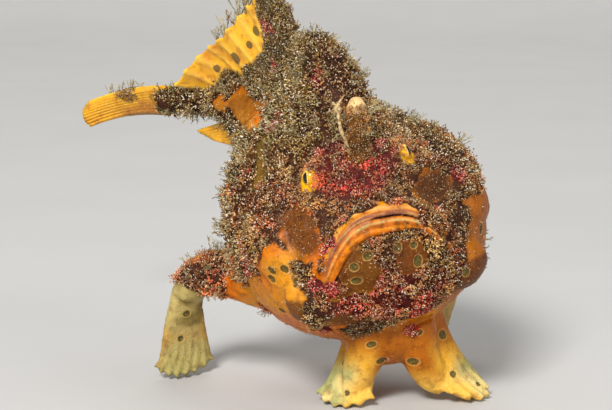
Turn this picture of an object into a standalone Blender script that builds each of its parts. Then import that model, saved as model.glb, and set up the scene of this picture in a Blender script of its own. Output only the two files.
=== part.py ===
"""A frogfish at life size, standing on its two pelvic and two pectoral fins.

The fish is laid out straight and upright first: x to its left, y back from the
chin, z up from the belly line. The function stance() then leans it over, bends
its tail to its right and lifts it onto its fins. The head looks along -Y.
"""

import math
import random

import bmesh
import bpy
import numpy as np
from mathutils import Matrix, Vector
from mathutils.bvhtree import BVHTree

for item in list(bpy.data.objects):
    bpy.data.objects.remove(item)

MM = 0.001
GAP = 0.3 * MM

# Stance: how the straight fish is leaned, bent and lifted
LEAN = math.radians(12)
LEAN_CENTRE = 28 * MM
BEND_START = 22 * MM
BEND_RADIUS = 112 * MM
BELLY_CLEARANCE = 12 * MM
# Middle of the standing fish's footprint, which is set on the origin
FOOTPRINT_MIDDLE = Vector((-14, 59.5, 0)) * MM

# Body: distance back from the chin, top, bottom, half width, height of the widest line
BODY_LENGTH = 120 * MM
BODY_SECTIONS = [
    [part * MM for part in section]
    for section in (
        (0, 33, 33, 0, 33),
        (2, 40, 25, 11, 31.5),
        (5, 45, 18.5, 18, 30.5),
        (9, 50.2, 13, 23, 31),
        (14, 55.5, 9, 27, 32),
        (20, 60, 6, 29.8, 33),
        (28, 64.3, 3.5, 31.5, 33.5),
        (38, 67.3, 2, 32, 33.5),
        (50, 69, 2, 30.5, 34),
        (65, 68.5, 9, 24.5, 38),
        (80, 65.5, 29, 12.5, 46),
        (95, 62, 44, 6.6, 53),
        (108, 60, 50.3, 4.8, 55.2),
        (120, 59.5, 52, 4, 55.8),
    )
]
BACK_NARROWING = 0.45
BELLY_FULLNESS = 0.86
HEAD_CUT = 41 * MM
TAIL_CUT = 103 * MM
FLESH_VOXEL = 0.8 * MM
FLESH_TRIANGLES = 3400

# Mouth: an upturned arch across the front of the face
MOUTH_HALF_WIDTH = 15.5 * MM
MOUTH_CORNER = 28 * MM
MOUTH_RISE = 11.6 * MM
CHIN_FOOT = 17 * MM
JAW_DEPTH = 12 * MM
UPPER_LIP = 2 * MM
LOWER_LIP = 1.5 * MM
CHIN_FOLD = 1.4 * MM

# Throat: a low swelling between the legs
THROAT_PLACE = Vector((0, 23, 6.5)) * MM
THROAT_RADIUS = 9.5 * MM
THROAT_WIDTH = 1.3

# Eyes: each on a low mound at the side of the forehead
EYE_PLACES = {-1: Vector((-12.4, 13.6, 50.3)) * MM, 1: Vector((10, 13.2, 51)) * MM}
EYE_RADIUS = 2.4 * MM
EYE_MOUND = 4.8 * MM

# Back fin: the height of its edge at even steps from its first ray to its last
DORSAL_TOPS = [each * MM for each in (87, 90.5, 86, 78.5, 73, 64)]
# Where turf ends on it: distances back, and the height that is bare above there, in mm
DORSAL_TURF_EDGE = ((62, 66, 70, 76, 85, 97, 107), (95, 90, 80, 74, 71, 66, 62))

# Bare right flank: its top by distance back from the chin, and how far back it starts by height, in mm
RIGHT_FLANK_TOP = ((4, 9, 12, 16, 26, 44, 56), (26, 35.5, 36.5, 32.5, 27, 23.5, 15))
RIGHT_FLANK_FRONT = ((9, 14, 20, 22, 29, 36), (21, 13, 5.7, 4, 6.5, 9))

# Turf: clumps of weed-like skin filaments, small on the face and wide on the back
TURF_SEED = 7
CLUMP_SIDES = 6
CLUMP_LOBES = 0.1
CLUMP_SINK = 0.36
FACE_CLUMP = 2.3 * MM
SNOUT_CLUMP = 1.8 * MM
BACK_CLUMP = 3.7 * MM
STALK_CLUMP = 2.6 * MM
WART = 1.5 * MM
WART_ROOM = 3.6 * MM
CLUMP_ROOM = 0.84
CLUMP_CLEARANCE = 0.5 * MM
LIMB_CLUMP = 2.6 * MM
TURFED_TRIANGLES = 8400
ARM_TRIANGLES, NAPE_TRIANGLES = 480, 640
DORSAL_TRIANGLES, TAIL_TRIANGLES = 1050, 560
NAPE_TUFT, FIN_TUFT = 4 * MM, 5.5 * MM

# Lure: a bait of three soft tags on the end of a rod
TAG_LENGTH, TAG_RADIUS = 3.2 * MM, 0.7 * MM
BAIT_RADIUS = 1.2 * MM
LURE_TRIANGLES = 260

NOSTRIL = 1.0 * MM
GILL_PORE = 1.6 * MM

FLESH = (0.62, 0.27, 0.06, 1)
FIN_YELLOW = (0.82, 0.5, 0.05, 1)
LIMB_CREAM = (0.75, 0.62, 0.3, 1)
EYE_GOLD = (0.85, 0.55, 0.05, 1)
LURE_CREAM = (0.72, 0.66, 0.5, 1)


def stance(point):
    """The place in the standing fish of a point in the straight one."""
    x, y, z = point
    turn = max(0.0, y - BEND_START) / BEND_RADIUS
    height = z - LEAN_CENTRE
    across = x * math.cos(LEAN) - height * math.sin(LEAN)
    raised = x * math.sin(LEAN) + height * math.cos(LEAN)
    return Vector((
        across * math.cos(turn) - BEND_RADIUS * (1 - math.cos(turn)),
        across * math.sin(turn) + min(y, BEND_START) + BEND_RADIUS * math.sin(turn),
        raised + LEAN_CENTRE + BELLY_CLEARANCE,
    ))


def tail_heading(y):
    """The level direction that the back of the fish runs in, y back from the chin."""
    turn = max(0.0, y - BEND_START) / BEND_RADIUS
    return Vector((-math.sin(turn), math.cos(turn), 0))


def smooth_through(rows, place):
    """The values of rows at a place, on a smooth curve through them; rows are keyed by root of distance."""
    keys = [math.sqrt(row[0]) for row in rows]
    key = math.sqrt(place)
    i = max(0, min(len(rows) - 2, int(np.searchsorted(keys, key)) - 1))
    span = keys[i + 1] - keys[i]
    t = (key - keys[i]) / span

    def slope(j, column):
        low, high = max(0, j - 1), min(len(rows) - 1, j + 1)
        return (rows[high][column] - rows[low][column]) / (keys[high] - keys[low]) * span

    values = []
    for column in range(1, len(rows[0])):
        a, b = rows[i][column], rows[i + 1][column]
        values.append(
            (2 * t**3 - 3 * t**2 + 1) * a + (t**3 - 2 * t**2 + t) * slope(i, column)
            + (3 * t**2 - 2 * t**3) * b + (t**3 - t**2) * slope(i + 1, column)
        )
    return values


def body_point(y, angle):
    """A point on the straight body, y back from the chin, at an angle round from its left side."""
    top, bottom, half_width, widest = smooth_through(BODY_SECTIONS, y)
    up = math.sin(angle)
    across = math.cos(angle)
    if up >= 0:
        z = widest + (top - widest) * up
        rise = min(1.0, max(0.0, (up - 0.35) / 0.45))
        narrowing = BACK_NARROWING * min(1.0, y / (22 * MM)) * rise**2 * (3 - 2 * rise)
        return Vector((half_width * across * (1 - narrowing), y, z))
    z = widest + (widest - bottom) * up
    return Vector((half_width * math.copysign(abs(across) ** BELLY_FULLNESS, across), y, z))


def new_object(name, mesh, colour=FLESH):
    """An object of that mesh, with a material of its own."""
    thing = bpy.data.objects.new(name, mesh)
    bpy.context.scene.collection.objects.link(thing)
    material = bpy.data.materials.new(name)
    material.use_nodes = True
    shader = material.node_tree.nodes["Principled BSDF"]
    shader.inputs["Base Color"].default_value = colour
    shader.inputs["Roughness"].default_value = 0.5
    mesh.materials.clear()
    mesh.materials.append(material)
    return thing


def mesh_of(points, faces, name="shape"):
    """A closed mesh of those faces, turned to face out."""
    mesh = bpy.data.meshes.new(name)
    mesh.from_pydata([tuple(p) for p in points], [], faces)
    shape = bmesh.new()
    shape.from_mesh(mesh)
    bmesh.ops.recalc_face_normals(shape, faces=shape.faces)
    shape.to_mesh(mesh)
    shape.free()
    return mesh


def skinned_rings(rings):
    """A closed mesh through rings of points, each end closed by a fan to its middle."""
    count = len(rings[0])
    points = [p for ring in rings for p in ring]
    faces = []
    for i in range(len(rings) - 1):
        for k in range(count):
            m = (k + 1) % count
            a, b, c, d = i * count + k, i * count + m, (i + 1) * count + m, (i + 1) * count + k
            faces += [(a, b, c), (a, c, d)]
    for ring, start in ((rings[0], 0), (rings[-1], (len(rings) - 1) * count)):
        middle = len(points)
        points.append(sum(ring, Vector()) / count)
        faces += [(start + k, start + (k + 1) % count, middle) for k in range(count)]
    return mesh_of(points, faces)


def tube(path, radii, sides=10, flatness=1.0, flat_way=Vector((0, 0, 1))):
    """A closed tube along a path; flatness narrows it along flat_way."""
    rings = []
    for i, centre in enumerate(path):
        along = (path[min(i + 1, len(path) - 1)] - path[max(i - 1, 0)]).normalized()
        side = along.cross(flat_way).normalized()
        thin = side.cross(along).normalized()
        rings.append([
            centre + radii[i] * (math.cos(a) * side + flatness * math.sin(a) * thin)
            for a in (2 * math.pi * k / sides for k in range(sides))
        ])
    return skinned_rings(rings)


def ball(centre, radius, rings=10, segments=14, scale=(1, 1, 1), turn=None):
    """A closed round or oval mesh."""
    shape = bmesh.new()
    bmesh.ops.create_uvsphere(shape, u_segments=segments, v_segments=rings, radius=radius)
    matrix = Matrix.Translation(centre)
    if turn is not None:
        matrix = matrix @ turn.to_4x4()
    shape.transform(matrix @ Matrix.Diagonal((*scale, 1)))
    mesh = bpy.data.meshes.new("ball")
    shape.to_mesh(mesh)
    shape.free()
    return mesh


def curve_through(points, count):
    """Points evenly spread along a smooth curve through a few points."""
    padded = [points[0] * 2 - points[1], *points, points[-1] * 2 - points[-2]]
    found = []
    for n in range(count):
        place = n / (count - 1) * (len(points) - 1)
        i = min(int(place), len(points) - 2)
        t = place - i
        a, b, c, d = padded[i:i + 4]
        found.append(0.5 * (
            2 * b + (c - a) * t + (2 * a - 5 * b + 4 * c - d) * t**2 + (3 * b - a - 3 * c + d) * t**3
        ))
    return found


def joined(meshes):
    """One mesh that holds all of these."""
    shape = bmesh.new()
    for mesh in meshes:
        shape.from_mesh(mesh)
    whole = bpy.data.meshes.new("whole")
    shape.to_mesh(whole)
    shape.free()
    return whole


def applied(thing):
    """The object's mesh with its modifiers worked in; they are then removed."""
    graph = bpy.context.evaluated_depsgraph_get()
    mesh = bpy.data.meshes.new_from_object(thing.evaluated_get(graph))
    thing.modifiers.clear()
    material = thing.data.materials[0] if thing.data.materials else None
    thing.data = mesh
    if material and not mesh.materials:
        mesh.materials.append(material)
    return mesh


def keep_largest(thing):
    """Drops all but the largest closed surface of an object's mesh."""
    shape = bmesh.new()
    shape.from_mesh(thing.data)
    waiting = set(shape.verts)
    best, best_size = set(), -1.0
    while waiting:
        start = waiting.pop()
        group, edge = {start}, [start]
        while edge:
            vertex = edge.pop()
            for link in vertex.link_edges:
                other = link.other_vert(vertex)
                if other not in group:
                    group.add(other)
                    edge.append(other)
        waiting -= group
        size = sum(face.calc_area() for face in {f for v in group for f in v.link_faces})
        if size > best_size:
            best, best_size = group, size
    bmesh.ops.delete(shape, geom=[v for v in shape.verts if v not in best], context="VERTS")
    shape.to_mesh(thing.data)
    shape.free()


def worked(thing, operation, others, solver="MANIFOLD"):
    """Joins to, or cuts from, an object the closed meshes in others."""
    group = bpy.data.collections.new("others")
    for number, mesh in enumerate(others):
        group.objects.link(bpy.data.objects.new(f"other{number}", mesh))
    bpy.context.scene.collection.children.link(group)
    step = thing.modifiers.new(operation, "BOOLEAN")
    step.operand_type = "COLLECTION"
    step.collection = group
    step.operation = operation
    step.solver = solver
    applied(thing)
    for other in list(group.objects):
        bpy.data.objects.remove(other)
    bpy.data.collections.remove(group)
    keep_largest(thing)
    return thing


def grown(mesh, by=GAP):
    """A copy of a closed mesh, swollen along its normals."""
    copy = mesh.copy()
    places = np.empty(len(copy.vertices) * 3)
    copy.vertices.foreach_get("co", places)
    normals = np.array([v.normal for v in mesh.vertices]).ravel()
    copy.vertices.foreach_set("co", places + by * normals)
    copy.update()
    return copy


def block_behind(y, front=False):
    """A large block behind, or in front of, the level cut across the fish at y."""
    heading = tail_heading(y) * (-1 if front else 1)
    reach = 0.3
    turn = Vector((0, 1, 0)).rotation_difference(heading).to_matrix()
    shape = bmesh.new()
    bmesh.ops.create_cube(shape, size=reach)
    centre = stance(Vector((0, y, LEAN_CENTRE))) + heading * (reach / 2 - GAP / 2)
    shape.transform(Matrix.Translation(centre) @ turn.to_4x4())
    mesh = bpy.data.meshes.new("block")
    shape.to_mesh(mesh)
    shape.free()
    return mesh


# Flesh: the body, eye mounds and lips, melted into one skin
def straight_body():
    """The body as rings from the chin to the root of the tail fin."""
    ring_count, ring_points = 46, 44
    rings = []
    for i in range(1, ring_count + 1):
        y = BODY_LENGTH * (i / ring_count) ** 2
        rings.append([body_point(y, 2 * math.pi * k / ring_points) for k in range(ring_points)])
    return skinned_rings(rings)


def mouth_height(x, half_width=MOUTH_HALF_WIDTH, corner=MOUTH_CORNER, rise=MOUTH_RISE):
    """The height of the mouth's line, x off the middle."""
    return corner + rise * (1 - min(1.0, abs(x) / half_width) ** 2.2)


def on_face(tree, x, z):
    """The point of the face straight in front of a place inside the head."""
    hit = tree.ray_cast(Vector((x, -30 * MM, z)), Vector((0, 1, 0)))[0]
    return hit


def lip(tree, radius, offset, width, thin_end=0.5):
    """A lip: a tube that follows the mouth's line on the face, thinner at its corners."""
    count = 17
    path, radii = [], []
    for n in range(count):
        share = 2 * n / (count - 1) - 1
        x = share * width
        z = mouth_height(x * MOUTH_HALF_WIDTH / width) + offset * (1 - 0.35 * share**2)
        path.append(on_face(tree, x, z) - Vector((0, 0.4 * radius, 0)))
        radii.append(radius * (1 - (1 - thin_end) * abs(share) ** 3))
    return tube(path, radii, sides=8, flat_way=Vector((0, 1, 0)))


def straight_flesh():
    """The straight fish's flesh with few triangles."""
    body = straight_body()
    tree = BVHTree.FromPolygons([v.co for v in body.vertices], [p.vertices for p in body.polygons])
    lumps = [
        lip(tree, UPPER_LIP, UPPER_LIP * 1.1, MOUTH_HALF_WIDTH + UPPER_LIP),
        lip(tree, LOWER_LIP, -LOWER_LIP * 1.1, MOUTH_HALF_WIDTH - 0.4 * LOWER_LIP),
        lip(tree, CHIN_FOLD, -LOWER_LIP * 2.6, MOUTH_HALF_WIDTH - 1.3 * LOWER_LIP),
    ]
    lumps.append(ball(THROAT_PLACE, THROAT_RADIUS, scale=(THROAT_WIDTH, 1, 1)))
    for side in (-1, 1):
        lumps.append(ball(EYE_PLACES[side] - Vector((3.1 * side, -1.0, 0.9)) * MM, EYE_MOUND))
        # Cheek, jaw corner and shoulder swell out of the flank
        lumps.append(ball(Vector((20.5 * side, 22, 34)) * MM, 10.5 * MM, scale=(1, 1.3, 1)))
        lumps.append(ball(Vector((17.5 * side, 11.5, 22)) * MM, 8 * MM, scale=(1, 1, 0.9)))
        lumps.append(ball(Vector((23 * side, 50, 23)) * MM, 10 * MM, scale=(1, 1.1, 0.9)))
    thing = new_object("flesh", joined([body, *lumps]))
    melt = thing.modifiers.new("melt", "REMESH")
    melt.mode = "VOXEL"
    melt.voxel_size = FLESH_VOXEL
    soften = thing.modifiers.new("soften", "SMOOTH")
    soften.factor = 0.5
    soften.iterations = 3
    return thinned(thing, FLESH_TRIANGLES)


def set_in_stance(mesh):
    """Moves a straight mesh into the fish's stance."""
    for vertex in mesh.vertices:
        vertex.co = stance(vertex.co)
    mesh.update()
    return mesh


# Turf: rounded clumps set close, each rooted in the skin
def clump(foot, up, radius, height, draw):
    """A rounded clump: a root sunk in the skin, an uneven waist and shoulder, and a blunt top."""
    across = up.orthogonal().normalized()
    onward = up.cross(across)
    start = draw.uniform(0, math.pi)

    def ring(level, reach, unevenness, lobes, turn=0):
        points = []
        for k in range(CLUMP_SIDES):
            angle = start + 2 * math.pi * (k + turn) / CLUMP_SIDES
            spread = reach * (1 + unevenness * draw.uniform(-1, 1) + lobes * (-1) ** k)
            lift = level + unevenness * height * draw.uniform(-0.4, 0.4)
            points.append(foot + lift * up + spread * (math.cos(angle) * across + math.sin(angle) * onward))
        return points

    rings = [
        ring(-CLUMP_SINK * radius, 0.75 * radius, 0, 0),
        ring(0.42 * height, radius, 0.1, CLUMP_LOBES, 0.25),
        ring(0.84 * height, 0.62 * radius, 0.14, -CLUMP_LOBES, 0.75),
    ]
    points = [p for each in rings for p in each]
    points.append(foot + height * up + 0.15 * radius * draw.uniform(-1, 1) * across)
    faces = [tuple(reversed(range(CLUMP_SIDES)))]
    for k in range(CLUMP_SIDES):
        m = (k + 1) % CLUMP_SIDES
        for low in (0, CLUMP_SIDES):
            a, b, c, d = low + k, low + m, low + m + CLUMP_SIDES, low + k + CLUMP_SIDES
            faces += [(a, b, c), (a, c, d)]
        faces.append((2 * CLUMP_SIDES + k, 2 * CLUMP_SIDES + m, 3 * CLUMP_SIDES))
    return mesh_of(points, faces)


def cup(foot, up, radius):
    """A low ring round a shallow hollow, such as a nostril."""
    sides = 8
    across = up.orthogonal().normalized()
    onward = up.cross(across)
    points = []
    for level, reach in ((-0.6, 1.05), (0.8, 0.9), (0.8, 0.55)):
        for k in range(sides):
            angle = 2 * math.pi * k / sides
            out = math.cos(angle) * across + math.sin(angle) * onward
            points.append(foot + radius * (level * up + reach * out))
    points.append(foot + 0.2 * radius * up)
    faces = [tuple(reversed(range(sides)))]
    for k in range(sides):
        m = (k + 1) % sides
        for low in (0, sides):
            a, b, c, d = low + k, low + m, low + m + sides, low + k + sides
            faces += [(a, b, c), (a, c, d)]
        faces.append((2 * sides + k, 2 * sides + m, 3 * sides))
    return mesh_of(points, faces)


def turf_growth(place):
    """A clump's radius at a place on the straight fish, and half its distance from others; None if bare."""
    x, y, z = (value / MM for value in place)
    wide = abs(x)
    lip_line = mouth_height(place.x) / MM
    on_front = y < 14
    if on_front and wide < 19.5 and lip_line - 8 < z < lip_line + 5.5:
        return None
    # Bare hollows beside the snout, and bare patches of the chin
    if y < 24 and math.hypot((wide - 18) / 5, (z - 41) / 6) < 1:
        return None
    if on_front and min(math.hypot(x + 6.7, z - 25) / 3.5, math.hypot(x - 9.3, z - 28) / 3) < 1:
        return None
    # Smooth skin with a few warts: throat, belly and both lower flanks
    on_left_flank = x > 12 + 0.55 * (min(z, 30) - 13) and z < 38 and y < 48
    on_right_flank = x < -12 and z < np.interp(y, *RIGHT_FLANK_TOP) and y > np.interp(z, *RIGHT_FLANK_FRONT)
    if z < 9 or (z < 13 and y > 20) or on_left_flank or on_right_flank:
        return WART, WART_ROOM
    blend = min(1.0, max(0.0, (y - 8) / 26))
    radius = FACE_CLUMP + (BACK_CLUMP - FACE_CLUMP) * blend
    if y > 85:
        radius = STALK_CLUMP
    if wide < 11 and y < 20 and z > lip_line:
        radius = SNOUT_CLUMP
    return radius, CLUMP_ROOM * radius


def scattered(mesh, straight, growth_at, draw):
    """Feet for clumps on a mesh, kept apart by their room: the place, normal, radius and room of each."""
    mesh.calc_loop_triangles()
    triangles = [tuple(t.vertices) for t in mesh.loop_triangles]
    reach = np.cumsum([t.area for t in mesh.loop_triangles])
    tries = int(reach[-1] / (0.75 * MM) ** 2)
    found = []
    for _ in range(tries):
        corners = triangles[int(np.searchsorted(reach, draw.random() * reach[-1]))]
        u, v = draw.random(), draw.random()
        if u + v > 1:
            u, v = 1 - u, 1 - v
        shares = (1 - u - v, u, v)
        growth = growth_at(sum((straight.vertices[k].co * w for k, w in zip(corners, shares)), Vector()))
        if growth is None:
            continue
        foot = sum((mesh.vertices[k].co * w for k, w in zip(corners, shares)), Vector())
        if any((foot - near).length < growth[1] + room for near, _, _, room in found):
            continue
        up = sum((mesh.vertices[k].normal * w for k, w in zip(corners, shares)), Vector()).normalized()
        found.append((foot, up, *growth))
    return found


def tree_of(mesh):
    """A tree of a mesh's triangles, to measure distances to."""
    mesh.calc_loop_triangles()
    return BVHTree.FromPolygons([v.co for v in mesh.vertices], [t.vertices for t in mesh.loop_triangles])


def clear_of(trees, foot, up, radius, height):
    """Whether a clump would stay clear of every other piece."""
    room = tree_of(clump(foot, up, radius + CLUMP_CLEARANCE, height + CLUMP_CLEARANCE, random.Random(0)))
    for tree in trees:
        if tree.overlap(room):
            return False
        way_out = tree.ray_cast(foot, up)[1]
        if way_out is not None and way_out.dot(up) > 0:
            return False
    return True


def turf(mesh, straight, growth_at, trees, draw):
    """All the clumps that grow on a mesh."""
    clumps = []
    for foot, up, radius, _ in scattered(mesh, straight, growth_at, draw):
        radius *= draw.uniform(0.82, 1.18)
        height = radius * draw.uniform(0.8, 1.05)
        if clear_of(trees, foot, up, radius, height):
            clumps.append(clump(foot, up, radius, height, draw))
    return clumps


def tuft(foot, up, length, radius, lean):
    """A wisp of filaments as one tapered, bent lock; lean is the way that its tip bends."""
    root, waist = foot - 0.35 * length * up, foot + 0.4 * length * up
    path = curve_through([root, waist, foot + length * up + lean], 4)
    return tube(path, [radius, radius, 0.7 * radius, 0.2 * radius], sides=5, flat_way=up.orthogonal())


def thinned(thing, triangles):
    """Brings an object's mesh down to about that many triangles, the flattest first."""
    split = thing.modifiers.new("split", "TRIANGULATE")
    split.min_vertices = 4
    count = len(applied(thing).polygons)
    thin = thing.modifiers.new("thin", "DECIMATE")
    thin.ratio = min(1.0, triangles / count)
    return applied(thing)


def jaw_plug(extra=0.0):
    """The block of the face that the lower jaw fills, from the mouth's line down to under the chin."""
    half_width = MOUTH_HALF_WIDTH + extra
    count = 24
    outline = []
    for n in range(count + 1):
        x = half_width * (1 - 2 * n / count)
        outline.append((x, mouth_height(x, half_width) + extra))
    for n in range(1, count):
        x = half_width * (2 * n / count - 1)
        drop = (MOUTH_CORNER - CHIN_FOOT + extra) * math.sqrt(1 - (x / half_width) ** 2)
        outline.append((x, MOUTH_CORNER - drop))
    front, back = -30 * MM, JAW_DEPTH + extra
    rings = [[Vector((x, y, z)) for x, z in outline] for y in (front, back)]
    return set_in_stance(skinned_rings(rings))


def make_flesh_nodes(flesh):
    """Parts the flesh into head, lower jaw, torso and tail stalk."""
    head = new_object("head", flesh.copy(), FLESH)
    worked(head, "DIFFERENCE", [jaw_plug(GAP), block_behind(HEAD_CUT)])
    jaw = new_object("lower_jaw", flesh.copy(), FLESH)
    worked(jaw, "INTERSECT", [jaw_plug()])
    torso = new_object("torso", flesh.copy(), FLESH)
    worked(torso, "DIFFERENCE", [block_behind(HEAD_CUT, front=True), block_behind(TAIL_CUT)])
    stalk = new_object("tail_stalk", flesh.copy(), FLESH)
    worked(stalk, "DIFFERENCE", [block_behind(TAIL_CUT, front=True)])
    return head, jaw, torso, stalk


def eye_ball(side, radius):
    """A ball in the place of the right eye, side -1, or of the left."""
    return ball(stance(EYE_PLACES[side]), radius, rings=8, segments=12)


def make_eyes():
    """Two balls, each to sit in a socket cut in its mound."""
    return [new_object(name, eye_ball(side, EYE_RADIUS), EYE_GOLD)
            for side, name in ((-1, "eye_right"), (1, "eye_left"))]


def eye_sockets():
    """The hollows that the eyes sit in."""
    return [eye_ball(side, EYE_RADIUS + GAP) for side in (-1, 1)]


def posed(name, straight, colour):
    """An object of a mesh made on the straight fish, set in its stance."""
    return new_object(name, set_in_stance(straight.copy()), colour)


def straight_path(points, count):
    """A smooth curve through a few places on the straight fish, in mm."""
    return curve_through([Vector(p) * MM for p in points], count)


# Spines: the lure's rod, the club over the snout and the thick spine of the nape
def make_club():
    """The short second spine, blunt like a club."""
    path = straight_path(((0, 12, 48), (0, 10.5, 56), (1.2, 11, 63.5), (2.2, 13, 69)), 8)
    return tube(path, [r * MM for r in (1.8, 1.7, 1.7, 1.8, 1.9, 1.9, 1.6, 0.8)])


def make_nape_spine():
    """The thick third spine, which leans back over the nape."""
    path = straight_path(((0, 26, 54), (0, 31, 68), (0, 37.5, 75.5), (0, 45, 79)), 8)
    return tube(path, [r * MM for r in (7.8, 7.6, 7.2, 6.6, 5.7, 4.6, 3.4, 1.8)], sides=12)


def make_lure():
    """The thin rod over the snout, with a bait of three soft tags on its end."""
    path = straight_path(((-1.2, 14, 51), (-2.8, 10.6, 56.5), (-3.8, 9.6, 61), (-3.4, 10.6, 65.5)), 9)
    radii = [each * MM for each in (0.8, 0.7, 0.6, 0.55, 0.5, 0.5, 0.5, 0.5, 0.5)]
    rod = new_object("rod", tube(path, radii, sides=6))
    end = path[-1]
    ways = ((-0.5, -0.4, 1), (0.5, 0, 1), (0, -1, 0.2))
    leans = ((-1, 0, 0), (1, 0.4, 0), (0, -0.6, -1))
    tags = [
        tuft(end, Vector(way).normalized(), TAG_LENGTH, TAG_RADIUS, Vector(lean) * MM)
        for way, lean in zip(ways, leans)
    ]
    worked(rod, "UNION", [ball(end, BAIT_RADIUS, rings=5, segments=6, scale=(1, 1, 1.2)), *tags])
    mesh = thinned(rod, LURE_TRIANGLES)
    bpy.data.objects.remove(rod)
    return mesh


# Fins: a membrane with its rays raised on both faces
def ribbed_fin(centres, half_thickness):
    """A closed fin; centres holds points from root to tip for each ray and each web between two."""
    columns, rows = len(centres), len(centres[0])
    points = []
    for side in (1, -1):
        for i in range(columns):
            for j in range(rows):
                ahead, behind = max(2, min(i + 1, columns - 1)), min(columns - 3, max(i - 1, 0))
                across = centres[ahead][j] - centres[behind][j]
                along = centres[i][min(j + 1, rows - 1)] - centres[i][max(j - 1, 0)]
                normal = across.cross(along).normalized()
                points.append(centres[i][j] + side * half_thickness[i][j] * normal)

    def at(i, j, back=0):
        return back * columns * rows + i * rows + j

    faces = []
    for back in (0, 1):
        for i in range(columns - 1):
            for j in range(rows - 1):
                a, b = at(i, j, back), at(i + 1, j, back)
                c, d = at(i + 1, j + 1, back), at(i, j + 1, back)
                faces += [(a, b, c), (a, c, d)] if not back else [(c, b, a), (d, c, a)]
    rim = [(i, 0) for i in range(columns)] + [(columns - 1, j) for j in range(1, rows)]
    rim += [(i, rows - 1) for i in range(columns - 2, -1, -1)] + [(0, j) for j in range(rows - 2, 0, -1)]
    for n, here in enumerate(rim):
        there = rim[(n + 1) % len(rim)]
        a, b, c, d = at(*here), at(*there), at(*there, 1), at(*here, 1)
        faces += [(b, a, d), (b, d, c)]
    return mesh_of(points, faces)


def ray_columns(rays):
    """For each ray and web between two: its place from 0 to 1, and whether it is a ray."""
    return [(n / (2 * rays - 2), n % 2 == 0) for n in range(2 * rays - 1)]


def make_dorsal_fin():
    """The long soft fin on the back; its rays lean back, and its rear edge curls to the right."""
    rays, rows = 12, 6
    tops = curve_through(DORSAL_TOPS, 2 * rays - 1)
    centres, halves = [], []
    for (place, is_ray), top in zip(ray_columns(rays), tops):
        foot = (47 + 47 * place) * MM
        tip = (55 + 54 * place) * MM
        root = smooth_through(BODY_SECTIONS, foot)[0] - 5 * MM
        reach = 1.0 if is_ray else 0.9
        column, half = [], []
        for j in range(rows):
            t = j / (rows - 1) * reach
            curl = -6.5 * MM * place * t**2
            wave = 0.8 * MM * t * math.sin(6 * math.pi * place)
            y = foot + (tip - foot) * t
            z = root + (top - root) * (t + 0.25 * place * t * (1 - t))
            column.append(Vector((curl + wave, y, z)))
            half.append(((1.3 - 0.65 * t) if is_ray else (0.65 - 0.25 * t)) * MM)
        centres.append(column)
        halves.append(half)
    return ribbed_fin(centres, halves)


def make_tail_fin():
    """The tail fin, folded shut like a fan, with its rays in pleats."""
    rays, rows = 9, 5
    centres, halves = [], []
    for place, is_ray in ray_columns(rays):
        level = 2 * place - 1
        column, half = [], []
        reach = (30 - 3 * level**2) * (1.0 if is_ray else 0.95)
        for j in range(rows):
            t = j / (rows - 1)
            pleat = (0.6 if is_ray else -0.6) * (0.35 + t) * MM
            y = BODY_LENGTH - 3 * MM + (reach + 3) * MM * t
            z = (56 - 4.5 * t**2 + level * (4.3 - 0.9 * t)) * MM
            column.append(Vector((pleat, y, z)))
            half.append(((1.15 - 0.6 * t) if is_ray else (0.8 - 0.4 * t)) * MM)
        centres.append(column)
        halves.append(half)
    return ribbed_fin(centres, halves)


def make_anal_fin():
    """The short fin under the tail stalk, half folded and pointing back."""
    rays, rows = 7, 5
    centres, halves = [], []
    for place, is_ray in ray_columns(rays):
        foot = (82 + 14 * place) * MM
        root = smooth_through(BODY_SECTIONS, foot)[1] + 4 * MM
        tip = (98 + 10 * place) * MM
        low = (41.5 + 5.5 * place) * MM
        column, half = [], []
        for j in range(rows):
            t = j / (rows - 1) * (1.0 if is_ray else 0.9)
            sway = -1.5 * MM * t**2 + (0.4 if is_ray else -0.4) * t * MM
            column.append(Vector((sway, foot + (tip - foot) * t, root + (low - root) * t)))
            half.append(((1.0 - 0.5 * t) if is_ray else (0.65 - 0.3 * t)) * MM)
        centres.append(column)
        halves.append(half)
    return ribbed_fin(centres, halves)


# Limbs: arm-like stalks that end in hand-like fins on the floor
def hand(wrist, palm, knuckle, toes, spread, thick, rays, outward, wrist_outward=None):
    """A fin used as a hand: from a thick wrist to separate ray tips that lie flat on the floor.

    palm and knuckle are the middle of the hand on its way down, toes the middle of its tips;
    spread is the half width at wrist, palm, knuckle and tips, along outward, or along
    wrist_outward where the hand starts."""
    rows = 7
    stops = [wrist, palm, knuckle, toes]
    middle = curve_through(stops, rows)
    centres, halves = [], []
    for place, is_ray in ray_columns(rays):
        level = 2 * place - 1
        column, half = [], []
        for j in range(rows):
            t = j / (rows - 1)
            width = float(np.interp(t * 3, range(4), spread))
            depth = float(np.interp(t * 3, range(4), thick))
            bulge = math.sqrt(max(0.0, 1 - level**2))
            reach = 1 if is_ray else 0.93
            centre = middle[j]
            if j == rows - 1:
                centre = middle[j - 1].lerp(middle[j], reach * (1 - 0.25 * level**2))
            ridge = 0.3 * MM if is_ray else -0.05 * MM
            way = (wrist_outward or outward).lerp(outward, t).normalized()
            column.append(centre + way * level * width)
            half.append(max(0.35 * MM, depth * (0.25 + 0.75 * bulge) + ridge * t))
        centres.append(column)
        halves.append(half)
    mesh = ribbed_fin(centres, halves)
    for vertex in mesh.vertices:
        vertex.co.z = max(0.0, vertex.co.z)
    return mesh


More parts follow.
